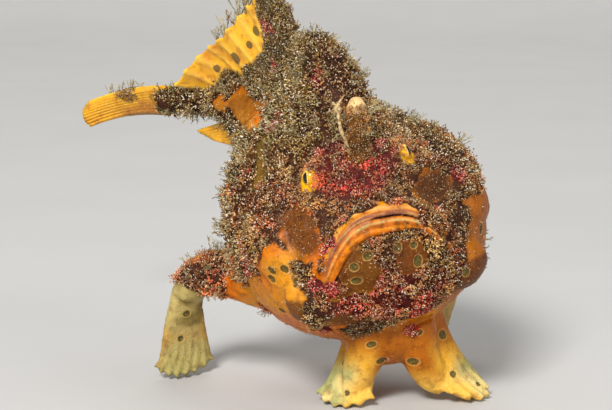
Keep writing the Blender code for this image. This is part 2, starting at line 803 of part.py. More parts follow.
def make_pelvic_fins():
    """The two short legs under the throat, which carry the front of the fish."""
    spread = [each * MM for each in (6.5, 5.4, 6.2, 8)]
    thick = [each * MM for each in (4.8, 3.6, 2.2, 0.6)]
    right_way = Vector((0.86, -0.5, 0)).normalized()
    left_way = Vector((0.68, 0.73, 0)).normalized()
    left_top_way = Vector((0.8, 0.3, 0.45)).normalized()
    right_places = ((1.5, 25, 21), (-2.5, 24, 12), (-6, 22, 3.8), (-9.5, 16.5, 0.5))
    left_places = ((12.5, 25, 21.5), (16.5, 23.5, 13.5), (22.5, 21.5, 5), (29, 17.5, 0.5))
    right = hand(*(Vector(p) * MM for p in right_places), spread, thick, 6, right_way)
    left = hand(*(Vector(p) * MM for p in left_places), spread, thick, 6, left_way, left_top_way)
    legs = (("pelvic_fin_right", right), ("pelvic_fin_left", left))
    return [new_object(name, mesh, LIMB_CREAM) for name, mesh in legs]


def make_pectoral_limbs():
    """The two arms behind the cheeks, and the hand-like fins that stand on the floor."""
    arms, hands = [], []
    for side, path, hand_places, outward in (
        ("right", ((-20, 44, 25), (-31, 48, 28), (-39, 52, 28), (-43, 55, 22)),
         ((-42.8, 54.9, 24), (-43.5, 56, 15), (-43.5, 56.5, 5), (-45, 51, 0.5)), (0.9, 0.3, 0)),
        ("left", ((17, 54, 34), (27, 59, 36), (33, 62, 32), (32.5, 64, 24)),
         ((32.6, 63.8, 25.5), (30, 65, 17), (25.5, 64.5, 5), (22.5, 59.5, 0.5)), (0.75, 0.62, 0)),
    ):
        arm_path = curve_through([Vector(p) * MM for p in path], 6)
        radii = [r * MM for r in (7.4, 7.2, 6.8, 6.2, 5.4, 4.6)]
        arms.append(new_object(f"pectoral_arm_{side}", tube(arm_path, radii, flatness=0.85), FLESH))
        past_end = arm_path[-1] + (arm_path[-1] - arm_path[-2]).normalized() * GAP
        shell = tube([*arm_path[:-1], past_end], [r + GAP for r in radii], flatness=0.87)
        mesh = hand(
            *(Vector(p) * MM for p in hand_places), spread=[3.6 * MM, 5.6 * MM, 7.4 * MM, 9 * MM],
            thick=[3.2 * MM, 1.7 * MM, 1.2 * MM, 0.6 * MM], rays=8, outward=Vector(outward).normalized())
        hands.append(worked(new_object(f"pectoral_fin_{side}", mesh, LIMB_CREAM), "DIFFERENCE", [shell]))
    return arms, hands


def dressed(thing, straight, growth_at, trees, draw, triangles, more=()):
    """Fuses turf, and any other forms, to an object."""
    worked(thing, "UNION", [*turf(thing.data, straight, growth_at, trees, draw), *more])
    thinned(thing, triangles)
    return thing


def even_turf(radius):
    """Turf of one size all over a piece."""
    return lambda place: (radius, CLUMP_ROOM * radius)


def dorsal_turf(place):
    """Turf covers the front and the foot of the soft dorsal fin and leaves its rear edge bare."""
    bare_above = float(np.interp(place.y / MM, *DORSAL_TURF_EDGE)) - 1.5
    return (2.3 * MM, 2.0 * MM) if place.z < bare_above * MM else None


def tail_turf(place):
    """A little turf grows half way along the upper edge of the tail fin."""
    covered = 128 * MM < place.y < 136 * MM and place.z > 56.5 * MM
    return (1.7 * MM, 1.6 * MM) if covered else None


def edge_tufts(straight, places, length, draw):
    """Wisps that stand up from the edge of a fin or spine."""
    tree = tree_of(straight)
    tufts = []
    for place in places:
        top = tree.ray_cast(Vector(place) * MM, Vector((0, 0, -1)))[0]
        up = (stance(top + Vector((0, 0.3, 1)) * MM) - stance(top)).normalized()
        size = length * draw.uniform(0.75, 1.2)
        lean = Vector((draw.uniform(-1, 1), draw.uniform(-1, 1), 0)) * 0.35 * size
        tufts.append(tuft(stance(top), up, size, 0.75 * MM, lean))
    return tufts


def face_cups(straight):
    """Two pairs of nostrils over the mouth, and the pore of the gill behind each arm."""
    tree = tree_of(straight)
    cups = []
    for side in (-1, 1):
        for x, z in ((5.4, 45.2), (8.4, 48.2)):
            foot, normal, _, _ = tree.ray_cast(Vector((side * x, -30, z)) * MM, Vector((0, 1, 0)))
            up = (stance(foot + normal * MM) - stance(foot)).normalized()
            cups.append(cup(stance(foot), up, NOSTRIL))
        foot, normal, _, _ = tree.find_nearest(Vector((side * 30, 60, 12)) * MM)
        up = (stance(foot + normal * MM) - stance(foot)).normalized()
        cups.append(cup(stance(foot), up, GILL_PORE))
    return cups


def make_frogfish():
    draw = random.Random(TURF_SEED)
    straight = straight_flesh()
    bpy.data.objects.remove(bpy.data.objects["flesh"])
    flesh = new_object("flesh", set_in_stance(straight.copy()))

    nape_mesh, dorsal_mesh, tail_mesh = make_nape_spine(), make_dorsal_fin(), make_tail_fin()
    nape = posed("third_spine", nape_mesh, FLESH)
    club = posed("second_spine", make_club(), LURE_CREAM)
    lure = posed("lure", make_lure(), LURE_CREAM)
    dorsal = posed("dorsal_fin", dorsal_mesh, FIN_YELLOW)
    tail = posed("tail_fin", tail_mesh, FIN_YELLOW)
    anal = posed("anal_fin", make_anal_fin(), FIN_YELLOW)
    legs = make_pelvic_fins()
    arms, hands = make_pectoral_limbs()
    eyes = make_eyes()
    rooted = [nape, club, lure, dorsal, tail, anal, *legs, *arms, *hands]

    # The flesh and its turf, parted into nodes
    cups = face_cups(straight)
    others = [tree_of(thing.data) for thing in rooted + eyes] + [tree_of(each) for each in cups]
    dressed(flesh, straight, turf_growth, others, draw, TURFED_TRIANGLES, cups)
    skin = tree_of(flesh.data)
    carrier = grown(flesh.data)
    head = make_flesh_nodes(flesh.data)[0]
    worked(head, "DIFFERENCE", eye_sockets())
    bpy.data.objects.remove(flesh)

    # Turf on the arms, the nape spine and the fins, clear of the flesh's own
    for arm, palm in zip(arms, hands):
        dressed(arm, arm.data, even_turf(LIMB_CLUMP), [skin, tree_of(palm.data)], draw, ARM_TRIANGLES)
    nape_tufts = edge_tufts(nape_mesh, ((-2, 41, 120), (2, 44, 120), (0, 36, 120)), NAPE_TUFT, draw)
    near_nape = [skin, tree_of(dorsal.data), tree_of(club.data), tree_of(lure.data)]
    dressed(nape, nape_mesh, even_turf(LIMB_CLUMP), near_nape, draw, NAPE_TRIANGLES, nape_tufts)
    fin_tops = [(0.5 * math.sin(n), 57 + 3.4 * n, 120) for n in range(6)]
    fin_tufts = edge_tufts(dorsal_mesh, fin_tops, FIN_TUFT, draw)
    near_dorsal = [skin, tree_of(nape.data)]
    dressed(dorsal, dorsal_mesh, dorsal_turf, near_dorsal, draw, DORSAL_TRIANGLES, fin_tufts)
    dressed(tail, tail_mesh, tail_turf, [skin], draw, TAIL_TRIANGLES)

    for thing in rooted:
        worked(thing, "DIFFERENCE", [carrier])
    for thing in bpy.context.scene.objects:
        thing.data.transform(Matrix.Translation(-FOOTPRINT_MIDDLE))
        thing.data.shade_smooth()
        thing.data.set_sharp_from_angle(angle=math.radians(40))


make_frogfish()
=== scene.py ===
import math
import random

import bmesh
import bpy
import numpy as np
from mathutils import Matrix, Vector
from mathutils.bvhtree import BVHTree


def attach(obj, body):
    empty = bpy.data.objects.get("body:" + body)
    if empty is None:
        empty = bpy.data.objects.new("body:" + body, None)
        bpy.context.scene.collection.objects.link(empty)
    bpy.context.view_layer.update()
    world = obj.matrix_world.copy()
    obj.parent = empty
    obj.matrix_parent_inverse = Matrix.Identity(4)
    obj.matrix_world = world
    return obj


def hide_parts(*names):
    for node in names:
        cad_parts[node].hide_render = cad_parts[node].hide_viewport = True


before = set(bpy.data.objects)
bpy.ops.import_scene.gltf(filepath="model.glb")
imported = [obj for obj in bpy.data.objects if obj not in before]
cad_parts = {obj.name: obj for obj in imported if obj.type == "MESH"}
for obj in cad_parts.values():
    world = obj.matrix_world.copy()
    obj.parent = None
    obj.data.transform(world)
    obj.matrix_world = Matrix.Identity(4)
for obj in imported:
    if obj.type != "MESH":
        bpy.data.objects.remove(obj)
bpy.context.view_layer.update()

# The stance. The fish is shaped straight and upright, in millimetres: x to its left,
# y back from the chin, z up. It is then leaned to its right, bent round towards the
# tail and lifted onto its fins. Growth and markings are set out on the straight fish.
MM = 0.001
LEAN = math.radians(12)
LEAN_CENTRE = 28
BEND_START = 22
BEND_RADIUS = 112
BELLY_CLEARANCE = 12
FOOTPRINT_MIDDLE = np.array((-14, 59.5, 0))


def stance(points):
    """The places in the standing fish of points on the straight one."""
    x, y, z = np.asarray(points, float).T
    turn = np.maximum(0, y - BEND_START) / BEND_RADIUS
    height = z - LEAN_CENTRE
    across = x * math.cos(LEAN) - height * math.sin(LEAN)
    raised = x * math.sin(LEAN) + height * math.cos(LEAN)
    return np.stack([
        across * np.cos(turn) - BEND_RADIUS * (1 - np.cos(turn)),
        across * np.sin(turn) + np.minimum(y, BEND_START) + BEND_RADIUS * np.sin(turn),
        raised + LEAN_CENTRE + BELLY_CLEARANCE,
    ], axis=1) - FOOTPRINT_MIDDLE


def straightened(points):
    """The places on the straight fish of points on the standing one."""
    x, y, z = (points + FOOTPRINT_MIDDLE).T
    out, along = x + BEND_RADIUS, y - BEND_START
    bent = along > 0
    across = np.where(bent, np.hypot(out, along) - BEND_RADIUS, x)
    y = np.where(bent, BEND_START + BEND_RADIUS * np.arctan2(along, out), y)
    raised = z - BELLY_CLEARANCE - LEAN_CENTRE
    return np.stack([
        across * math.cos(LEAN) + raised * math.sin(LEAN),
        y,
        raised * math.cos(LEAN) - across * math.sin(LEAN) + LEAN_CENTRE,
    ], axis=1)


# The flesh. One soft, loose skin over the whole fish, with no scales: the round body,
# cheeks, brows and lips, the two leg-like fins under the throat, the arms with their
# hands, and the thick spines of the nape and snout. Shaped apart, then melted together.
BODY_LENGTH = 120
BODY_RINGS = 90
# Distance back from the chin, top, bottom, half width, height of the widest line
BODY_SECTIONS = np.array((
    (0, 33, 33, 0, 33), (2, 40, 25, 11, 31.5), (5, 45, 18.5, 18, 30.5), (9, 50.2, 13, 23, 31),
    (14, 55.5, 9, 27, 32), (20, 60, 6, 29.8, 33), (28, 64.3, 3.5, 31.5, 33.5), (38, 67.3, 2, 32, 33.5),
    (50, 69, 2, 30.5, 34), (65, 68.5, 9, 24.5, 40), (80, 65.7, 37, 12, 55),
    (95, 62.8, 53.5, 6.4, 58), (108, 61.3, 54.6, 4.4, 58), (120, 60.2, 53.6, 3.8, 57)), float)
# The right flank is drawn in where the tail bends round to it: distance back, share of the width
DRAWN_IN = ((50, 65, 80, 95, 108), (1, 0.8, 0.62, 0.8, 0.95))
BACK_NARROWING, NARROW_FROM = 0.45, 22
BELLY_FULLNESS = 0.86
MOUTH_HALF_WIDTH, MOUTH_CORNER, MOUTH_RISE, MOUTH_TILT = 15.5, 28, 11.4, 0.05
# Each lip's roll: radius, height off the mouth's line, and how much wider than the mouth
LIPS = ((1.7, 1.6, 1.6), (0.85, -0.9, -0.8), (0.95, -2.9, -1.4))
THROAT = (0, 23, 6.5), (12.35, 9.5, 9.5)
# Swellings of both sides: the cheek, the jowl beside the chin and the hip
CHEEK = (20.5, 22, 34), (10.5, 13.6, 10.5)
JOWL = (17.5, 11.5, 22), (8, 8, 7.2)
HIP = (23, 50, 23), (10, 11, 9)
EYE_PLACES = {-1: np.array((-12.4, 13.6, 50.3)), 1: np.array((10, 13.2, 51))}
EYE_RADIUS = 2.4
EYE_GAZE = np.array((0.79, -0.58, 0.2))
EYE_MOUND_RADIUS, EYE_MOUND_OFF = 4.8, np.array((3.1, -1.0, 0.9))
LID_RADIUS, LID_RING, LID_FORWARD = 0.75, 2.35, 0.75
SKIN_VOXEL = 0.55


def section_at(y):
    """Top, bottom, half width and widest height of the straight body, y back from the chin."""
    keys, key = np.sqrt(BODY_SECTIONS[:, 0]), math.sqrt(y)
    i = int(np.clip(np.searchsorted(keys, key) - 1, 0, len(keys) - 2))
    span = keys[i + 1] - keys[i]
    t = (key - keys[i]) / span

    def slope(j):
        low, high = max(0, j - 1), min(len(keys) - 1, j + 1)
        return (BODY_SECTIONS[high, 1:] - BODY_SECTIONS[low, 1:]) / (keys[high] - keys[low]) * span

    return ((2 * t**3 - 3 * t**2 + 1) * BODY_SECTIONS[i, 1:] + (t**3 - 2 * t**2 + t) * slope(i)
            + (3 * t**2 - 2 * t**3) * BODY_SECTIONS[i + 1, 1:] + (t**3 - t**2) * slope(i + 1))


def eased(value, low, high):
    """0 below low, 1 above high, and smooth between."""
    t = np.clip((value - low) / (high - low), 0, 1)
    return t * t * (3 - 2 * t)


def body_ring(y, around=72):
    """One ring of the straight body: narrow over the back, full under the belly."""
    top, bottom, half_width, widest = section_at(y)
    angle = np.arange(around) * 2 * math.pi / around
    up, across = np.sin(angle), np.cos(angle)
    narrowing = BACK_NARROWING * min(1, y / NARROW_FROM) * eased(up, 0.35, 0.8)
    x = np.where(up >= 0, across * (1 - narrowing), np.sign(across) * abs(across) ** BELLY_FULLNESS)
    x = x * np.where(x < 0, np.interp(y, *DRAWN_IN), 1)
    z = widest + np.where(up >= 0, (top - widest) * up, (widest - bottom) * up)
    return np.stack([half_width * x, np.full(around, y), z], axis=1)


def ring_shape(rings):
    """Points and faces of a closed skin through rings of points."""
    rings = np.asarray(rings, float)
    count, around = rings.shape[:2]
    points = np.concatenate([rings.reshape(-1, 3), rings[[0, -1]].mean(axis=1)])
    first, step = np.meshgrid(np.arange(count - 1) * around, np.arange(around), indexing="ij")
    a, b = (first + step).ravel(), (first + (step + 1) % around).ravel()
    faces = np.stack([a, b, b + around, a + around], axis=1).tolist()
    for start, tip in ((0, count * around), ((count - 1) * around, count * around + 1)):
        faces += [(start + k, start + (k + 1) % around, tip) for k in range(around)]
    return points, faces


def ball(centre, radii, around=20):
    """A round or oval shape."""
    polar = np.linspace(0.04, math.pi - 0.04, around // 2 + 1)
    turn = np.arange(around) * 2 * math.pi / around
    around_axis = np.stack([np.cos(turn), np.sin(turn), np.ones(around)], axis=1)
    rings = np.array([around_axis * (math.sin(p), math.sin(p), math.cos(p)) for p in polar])
    return ring_shape(rings * radii + centre)


def unit(vectors):
    """Vectors brought to a length of one."""
    return vectors / np.maximum(1e-9, np.linalg.norm(vectors, axis=-1, keepdims=True))


def tube(path, radii, around=14, flat=1.0, flat_way=(0, 0, 1)):
    """A tube along a path; flat narrows it along flat_way."""
    path = np.asarray(path, float)
    along = unit(np.gradient(path, axis=0))
    side = unit(np.cross(along, flat_way))
    thin = np.cross(side, along)
    turn = np.arange(around) * 2 * math.pi / around
    rings = path[:, None] + np.asarray(radii)[:, None, None] * (
        np.cos(turn)[None, :, None] * side[:, None] + flat * np.sin(turn)[None, :, None] * thin[:, None])
    return ring_shape(rings)


def curve_through(points, count):
    """Points evenly spread along a smooth curve through a few points."""
    points = np.asarray(points, float)
    padded = np.concatenate([[points[0] * 2 - points[1]], points, [points[-1] * 2 - points[-2]]])
    place = np.linspace(0, len(points) - 1, count)
    i = np.minimum(place.astype(int), len(points) - 2)
    t = (place - i).reshape(-1, *[1] * (points.ndim - 1))
    a, b, c, d = (padded[i + k] for k in range(4))
    return 0.5 * (2 * b + (c - a) * t + (2 * a - 5 * b + 4 * c - d) * t**2 + (3 * b - a - 3 * c + d) * t**3)


def spread_over(values, count):
    """Values given at even steps, read at more places between them."""
    return np.interp(np.linspace(0, len(values) - 1, count), range(len(values)), values)


def sheet_shape(centres, halves):
    """A closed fin about a grid of middle points, half as thick as halves says to either side."""
    normal = unit(np.cross(np.gradient(centres, axis=0), np.gradient(centres, axis=1)))
    columns, rows = halves.shape
    faces_of = [(centres + side * halves[..., None] * normal).reshape(-1, 3) for side in (1, -1)]
    points = np.concatenate(faces_of)
    i, j = np.meshgrid(np.arange(columns - 1), np.arange(rows - 1), indexing="ij")
    a = (i * rows + j).ravel()
    b, far = a + rows, columns * rows
    faces = np.stack([a, b, b + 1, a + 1], axis=1).tolist()
    faces += (np.stack([a + 1, b + 1, b, a], axis=1) + far).tolist()
    rim = [i * rows for i in range(columns)] + [(columns - 1) * rows + j for j in range(1, rows)]
    rim += [i * rows + rows - 1 for i in range(columns - 2, -1, -1)] + list(range(rows - 2, 0, -1))
    for here, there in zip(rim, rim[1:] + rim[:1]):
        faces.append((there, here, here + far, there + far))
    return points, faces


def hand(stops, spread, thick, rays, outward, wrist_outward=None):
    """A fin used as a hand or foot: a fleshy wrist that fans out into ray tips flat on the floor."""
    rows, columns = 26, rays * 8 + 1
    t = np.linspace(0, 1, rows)
    middle = curve_through(np.array(stops) - FOOTPRINT_MIDDLE, rows)
    level = np.linspace(-1, 1, columns)[:, None]
    ray = (0.5 + 0.5 * np.cos((level + 1) / 2 * 2 * math.pi * (rays - 1))) ** 1.5
    width, depth = (curve_through(np.array(each)[:, None], rows)[:, 0] for each in (spread, thick))
    wrist_way, tip_way = (unit(np.array(way, float)) for way in (wrist_outward or outward, outward))
    across = unit(wrist_way * (1 - t[:, None]) + tip_way * t[:, None])
    short = (1 - ray) * 0.06 + 0.22 * level**2
    reach = t[None] * (1 - short * eased(t, 0.6, 1)[None])
    place = reach * (rows - 1)
    i = np.minimum(place.astype(int), rows - 2)
    part = (place - i)[..., None]
    centres = middle[i] * (1 - part) + middle[i + 1] * part + across * (level * width[None])[..., None]
    bulge = np.sqrt(np.maximum(0, 1 - level**2))
    halves = depth[None] * (0.3 + 0.7 * bulge) + 0.5 * (ray - 0.45) * eased(t, 0.2, 0.8)[None]
    points, faces = sheet_shape(centres, np.maximum(0.45, halves))
    points[:, 2] = np.maximum(0.05, points[:, 2])
    return points, faces


def mouth_height(x):
    """The height of the line between the lips, x off the middle."""
    out = np.minimum(1, abs(x) / MOUTH_HALF_WIDTH)
    return MOUTH_CORNER + MOUTH_RISE * (1 - out**2.8) - MOUTH_TILT * x * (1 - out)


def shape_tree(shape, scale=1.0):
    """A tree of a shape's faces, to measure to."""
    return BVHTree.FromPolygons([Vector(p) * scale for p in shape[0]], shape[1])


def lip(tree, radius, offset, wider):
    """A roll of skin along the mouth's arch, thinner at the corners."""
    path, radii = [], []
    width = MOUTH_HALF_WIDTH + wider
    for share in np.linspace(-1, 1, 41):
        x = share * width
        z = mouth_height(x * MOUTH_HALF_WIDTH / width) + offset * (1 - 0.35 * share**2)
        hit = tree.ray_cast(Vector((x, -30, z)), Vector((0, 1, 0)))[0]
        path.append(np.array(hit) - (0, 0.3 * radius, 0))
        radii.append(radius * (1 - 0.55 * abs(share) ** 3))
    return tube(path, radii, around=12, flat_way=(0, 1, 0))


body = ring_shape([body_ring(BODY_LENGTH * (i / BODY_RINGS) ** 2) for i in range(1, BODY_RINGS + 1)])
face_tree = shape_tree(body)
straight_parts = [body, ball(*THROAT)] + [lip(face_tree, *each) for each in LIPS]
for side in (-1, 1):
    to_side = np.array((side, 1, 1))
    straight_parts.append(ball(EYE_PLACES[side] - EYE_MOUND_OFF * to_side, EYE_MOUND_RADIUS))
    straight_parts += [ball(np.array(centre) * to_side, radii) for centre, radii in (CHEEK, JOWL, HIP)]
    # The lids: a roll of skin round each eye
    gaze = unit(EYE_GAZE * to_side)
    level = unit(np.cross(gaze, (0, 0, 1)))
    upright = np.cross(level, gaze)
    turn = np.linspace(0, 2 * math.pi, 25)[:, None]
    about = np.cos(turn) * level + 1.05 * np.sin(turn) * upright
    lid = EYE_PLACES[side] + LID_FORWARD * gaze + LID_RING * about
    straight_parts.append(tube(lid, [LID_RADIUS] * len(lid), around=8, flat_way=gaze))

# The club over the snout and the thick spine of the nape: stops along each, then its radii
CLUB_STOPS = (0, 12, 48), (0, 10.5, 56), (1.0, 11, 62.5), (1.8, 12.6, 67)
CLUB_RADII = (2.4, 2.3, 2.3, 2.5, 2.7, 2.8, 2.4, 1.3)
NAPE_STOPS = (0, 26, 54), (0, 31, 68), (0, 37.5, 75.5), (0, 45, 79)
NAPE_RADII = (7.8, 7.6, 7.2, 6.6, 5.7, 4.6, 3.4, 1.8)
club = tube(curve_through(CLUB_STOPS, 14), spread_over(CLUB_RADII, 14))
nape = tube(curve_through(NAPE_STOPS, 16), spread_over(NAPE_RADII, 16), 24)

# The limbs, in the standing fish. Each leg's stops, which way its toes spread, and its shin if another
LEGS = ((((1.5, 25, 21), (-2.5, 24, 12), (-6, 22, 3.8), (-9.5, 16.5, 0.7)), (0.86, -0.5, 0)),
        (((12.5, 25, 21.5), (16.5, 23.5, 13.5), (22.5, 21.5, 5), (29, 17.5, 0.7)),
         (0.68, 0.73, 0), (0.8, 0.3, 0.45)))
LEG_WIDTHS, LEG_DEPTHS, LEG_RAYS = (6.5, 5.4, 6.2, 8), (4.8, 3.6, 2.2, 0.7), 6
# The throat's skin runs down the front of both legs and leaves an arch between them
LEG_FRONTS = (((1, 18.5, 21), (-2, 19, 13.5), (-4.5, 19.8, 6.5), (-6.5, 19.5, 3)),
              ((9.5, 18.5, 21), (11.5, 18.8, 13.5), (14.8, 19.5, 6.5), (18, 19, 3)))
LEG_FRONT_RADII = (6, 5.2, 4.0, 1.8)
# Each arm's stops, its hand's stops and which way the fingers spread
ARMS = ((((-20, 44, 25), (-31, 48, 28), (-39, 52, 28), (-43, 55, 22)),
         ((-42.8, 54.9, 24), (-43.5, 56, 15), (-43.5, 56.5, 5), (-45, 51, 0.7)), (0.9, 0.3, 0)),
        (((17, 54, 34), (27, 59, 36), (33, 62, 32), (32.5, 64, 24)),
         ((32.6, 63.8, 25.5), (30, 65, 17), (25.5, 64.5, 5), (22.5, 59.5, 0.7)), (0.75, 0.62, 0)))
ARM_RADII = (7.4, 7.2, 6.8, 6.2, 5.4, 4.6)
HAND_WIDTHS, HAND_DEPTHS, HAND_RAYS = (3.6, 5.6, 7.4, 9), (3.2, 1.9, 1.3, 0.7), 8

PARTS = {
    "trunk": [(stance(points), faces) for points, faces in straight_parts],
    "club": [(stance(club[0]), club[1])],
    "nape": [(stance(nape[0]), nape[1])],
    "arm": [], "hand": [],
    "leg": [hand(stops, LEG_WIDTHS, LEG_DEPTHS, LEG_RAYS, *ways) for stops, *ways in LEGS],
}
for path in LEG_FRONTS:
    front_of_leg = curve_through(np.array(path) - FOOTPRINT_MIDDLE, 12)
    PARTS["leg"].append(tube(front_of_leg, spread_over(LEG_FRONT_RADII, 12), 18, 0.8, (0, 1, 0)))
for path, stops, outward in ARMS:
    arm_path = curve_through(np.array(path) - FOOTPRINT_MIDDLE, 16)
    PARTS["arm"].append(tube(arm_path, spread_over(ARM_RADII, 16), 20, 0.85))
    PARTS["hand"].append(hand(stops, HAND_WIDTHS, HAND_DEPTHS, HAND_RAYS, outward))


def new_piece(name, points, faces):
    """An object of those points, in millimetres, and faces."""
    mesh = bpy.data.meshes.new(name)
    mesh.from_pydata((np.asarray(points) * MM).tolist(), [], faces)
    mesh.update()
    piece = bpy.data.objects.new(name, mesh)
    bpy.context.scene.collection.objects.link(piece)
    return piece


def places_of(mesh):
    """A mesh's points in millimetres."""
    flat = np.empty(len(mesh.vertices) * 3)
    mesh.vertices.foreach_get("co", flat)
    return flat.reshape(-1, 3) / MM


def normals_of(mesh):
    """The way out at each point of a mesh."""
    flat = np.empty(len(mesh.vertices) * 3)
    mesh.vertex_normals.foreach_get("vector", flat)
    return flat.reshape(-1, 3)


def worked_in(piece):
    """Works an object's modifiers into its mesh."""
    graph = bpy.context.evaluated_depsgraph_get()
    mesh = bpy.data.meshes.new_from_object(piece.evaluated_get(graph))
    piece.modifiers.clear()
    piece.data = mesh


def one_shape(shapes):
    """Several shapes as one list of points and faces."""
    points, faces, start = [], [], 0
    for more, corners in shapes:
        points.append(more)
        faces += [[c + start for c in face] for face in corners]
        start += len(more)
    return np.concatenate(points), faces


def melted(piece, voxel):
    """Melts an object's shapes into one closed skin, over cubes of that size in millimetres."""
    melt = piece.modifiers.new("melt", "REMESH")
    melt.mode = "VOXEL"
    melt.voxel_size = voxel * MM
    worked_in(piece)


skin = new_piece("skin", *one_shape([shape for shapes in PARTS.values() for shape in shapes]))
melted(skin, SKIN_VOXEL)


def part_weights(points):
    """How far each point belongs to each part of the flesh, from 0 to 1, soft at the joins."""
    found = {name: np.zeros(len(points)) for name in PARTS}
    trunk = shape_tree(PARTS["trunk"][0])
    for name, shapes in PARTS.items():
        for shape in shapes if name != "trunk" else []:
            tree = shape_tree(shape)
            low, high = shape[0].min(axis=0) - 2, shape[0].max(axis=0) + 2
            near = np.nonzero(np.all((points > low) & (points < high), axis=1))[0]
            for n in near:
                place = Vector(points[n])
                off = tree.find_nearest(place)[3]
                if off < 3:
                    gain = trunk.find_nearest(place)[3] - off
                    found[name][n] = max(found[name][n], min(1.0, max(0.0, (gain + 0.5) / 2)))
    found["trunk"] = 1 - np.max([found[name] for name in PARTS if name != "trunk"], axis=0)
    return found


# Softened where the parts meet, and hardly at all on the thin hands and feet
weights = part_weights(places_of(skin.data))
loose = skin.vertex_groups.new(name="loose")
firm = np.maximum(weights["hand"], weights["leg"])
toes = firm * (1 - eased(places_of(skin.data)[:, 2], 7, 14))
for n, share in enumerate(1 - 0.85 * toes):
    loose.add([n], float(share), "REPLACE")
soften = skin.modifiers.new("soften", "SMOOTH")
soften.factor = 0.5
soften.iterations = 7
soften.vertex_group = "loose"
worked_in(skin)
skin.vertex_groups.clear()

# The face is cut finer for the lips and lids
shape = bmesh.new()
shape.from_mesh(skin.data)
straight = straightened(places_of(skin.data))
on_face = (straight[:, 1] < 19) & (abs(straight[:, 0]) < 21) & (straight[:, 2] > 20) & (straight[:, 2] < 56)
shape.verts.ensure_lookup_table()
edges = [e for e in shape.edges if on_face[e.verts[0].index] and on_face[e.verts[1].index]]
bmesh.ops.subdivide_edges(shape, edges=edges, cuts=1, use_grid_fill=True)
bmesh.ops.triangulate(shape, faces=[f for f in shape.faces if len(f.verts) > 4])
shape.to_mesh(skin.data)
shape.free()


def ripple(points, size, seed=0):
    """Soft random values from -1 to 1 that change over about that size."""
    spots = np.asarray(points) / size + 31.7 * seed
    low = np.floor(spots).astype(np.int64)
    part = spots - low
    part = part * part * (3 - 2 * part)
    total = np.zeros(len(spots))
    for corner in range(8):
        step = np.array([(corner >> k) & 1 for k in range(3)])
        cell = low + step
        mixed = (cell[:, 0] * 73856093) ^ (cell[:, 1] * 19349663) ^ (cell[:, 2] * 83492791)
        mixed = (mixed ^ (mixed >> 13)) * 1274126177
        value = ((mixed ^ (mixed >> 16)) & 0xFFFF) / 32767.5 - 1
        total += value * np.prod(np.where(step, part, 1 - part), axis=1)
    return total


# Markings. Round dark spots with a pale rim lie on the bare skin, each a shallow dish.
# Each is its place on the straight fish, its radius and its height to its width. Those
# on the limbs stand as placed in the standing fish.
BODY_SPOTS = [
    (-5.2, 0.9, 31.2, 1.15), (-8.7, 1.5, 29.2, 1.1), (-8.6, 2.6, 25.4, 1.35, 0.7), (2.4, 0.1, 31.7, 1.0, 1.3),
    (6.2, 1.2, 31.0, 0.9), (6.7, 1.7, 26.8, 1.1, 1.5), (-22.0, 8.6, 27.2, 1.1, 1.3), (-23.9, 9.9, 30.9, 1.3),
    (-26.6, 13.0, 30.6, 1.1, 1.5), (-27.0, 14.6, 27.9, 1.1, 1.3), (-25.4, 20.2, 18.2, 1.4, 0.7),
    (-22.5, 26.5, 10.5, 1.3), (-29.6, 32.5, 21.3, 1.2), (5.7, 15.0, 5.7, 0.9), (18.1, 4.1, 20.6, 0.9, 1.4),
    (-15.6, 15.7, 11.0, 0.8), (-6.3, 15.5, 5.7, 1.5, 0.6),
    (-29.5, 24.0, 36.5, 1.2), (27.5, 12.0, 27.5, 1.2, 1.3), (29.0, 19.0, 31.5, 1.4),
    (30.5, 27.0, 25.0, 1.4, 0.8), (31.5, 36.0, 31.0, 1.5), (28.5, 33.0, 17.0, 1.4, 0.7),
    (31.0, 46.0, 24.0, 1.5), (16.0, 34.0, 4.0, 1.4), (4.0, 46.0, 2.5, 1.5), (-12.0, 50.0, 3.5, 1.5),
    (-26.0, 52.0, 12.0, 1.4), (24.0, 24.0, 13.0, 1.2, 0.7),
]
LEG_SPOTS = [
    (2.1, 14.5, 11.2, 1.8, 0.6), (8.9, 14.5, 11.2, 1.8, 0.6), (18.1, 21.5, 16.9, 1.4), (20.5, 19.1, 6.9, 1.1),
    (-6.7, 18.3, 3.6, 0.9), (11.3, 19.4, 18.7, 1.0), (-5.2, 21, 9.5, 1.0), (27.5, 19.5, 4.0, 0.9),
    (-43.4, 53.5, 17.1, 1.1), (-45.2, 55, 10, 1.0), (30, 63, 15, 1.1), (27, 63, 9, 1.0),
]
places = places_of(skin.data)
straight = straightened(places)
weights = part_weights(places)
x, y, z = straight.T
front = 1 - eased(y, 10, 15)
off_mouth = z - mouth_height(x)
mouth_width = 1 - eased(abs(x), MOUTH_HALF_WIDTH - 1.5, MOUTH_HALF_WIDTH + 1.5)
FAR_OFF = 9.0
spot = np.full(len(places), FAR_OFF)
for marks, spots in ((straight, BODY_SPOTS), (places + FOOTPRINT_MIDDLE, LEG_SPOTS)):
    for *spot_middle, radius, tall in [(*each, 1)[:5] for each in spots]:
        on_skin = marks[np.argmin(np.linalg.norm(marks - spot_middle, axis=1))]
        off = (marks - on_skin) / (1, 1, tall)
        spot = np.minimum(spot, np.linalg.norm(off, axis=1) / radius)


def off_oval(points, middle, radii):
    """Below 1 inside an oval about a place, whatever its depth; radii gives its half width and height."""
    return np.hypot((points[:, 0] - middle[0]) / radii[0], (points[:, 2] - middle[1]) / radii[1])


def on_line(off, width):
    """1 on a line and 0 well away from it, for distances off the line."""
    return np.exp(-(off / width) ** 2)


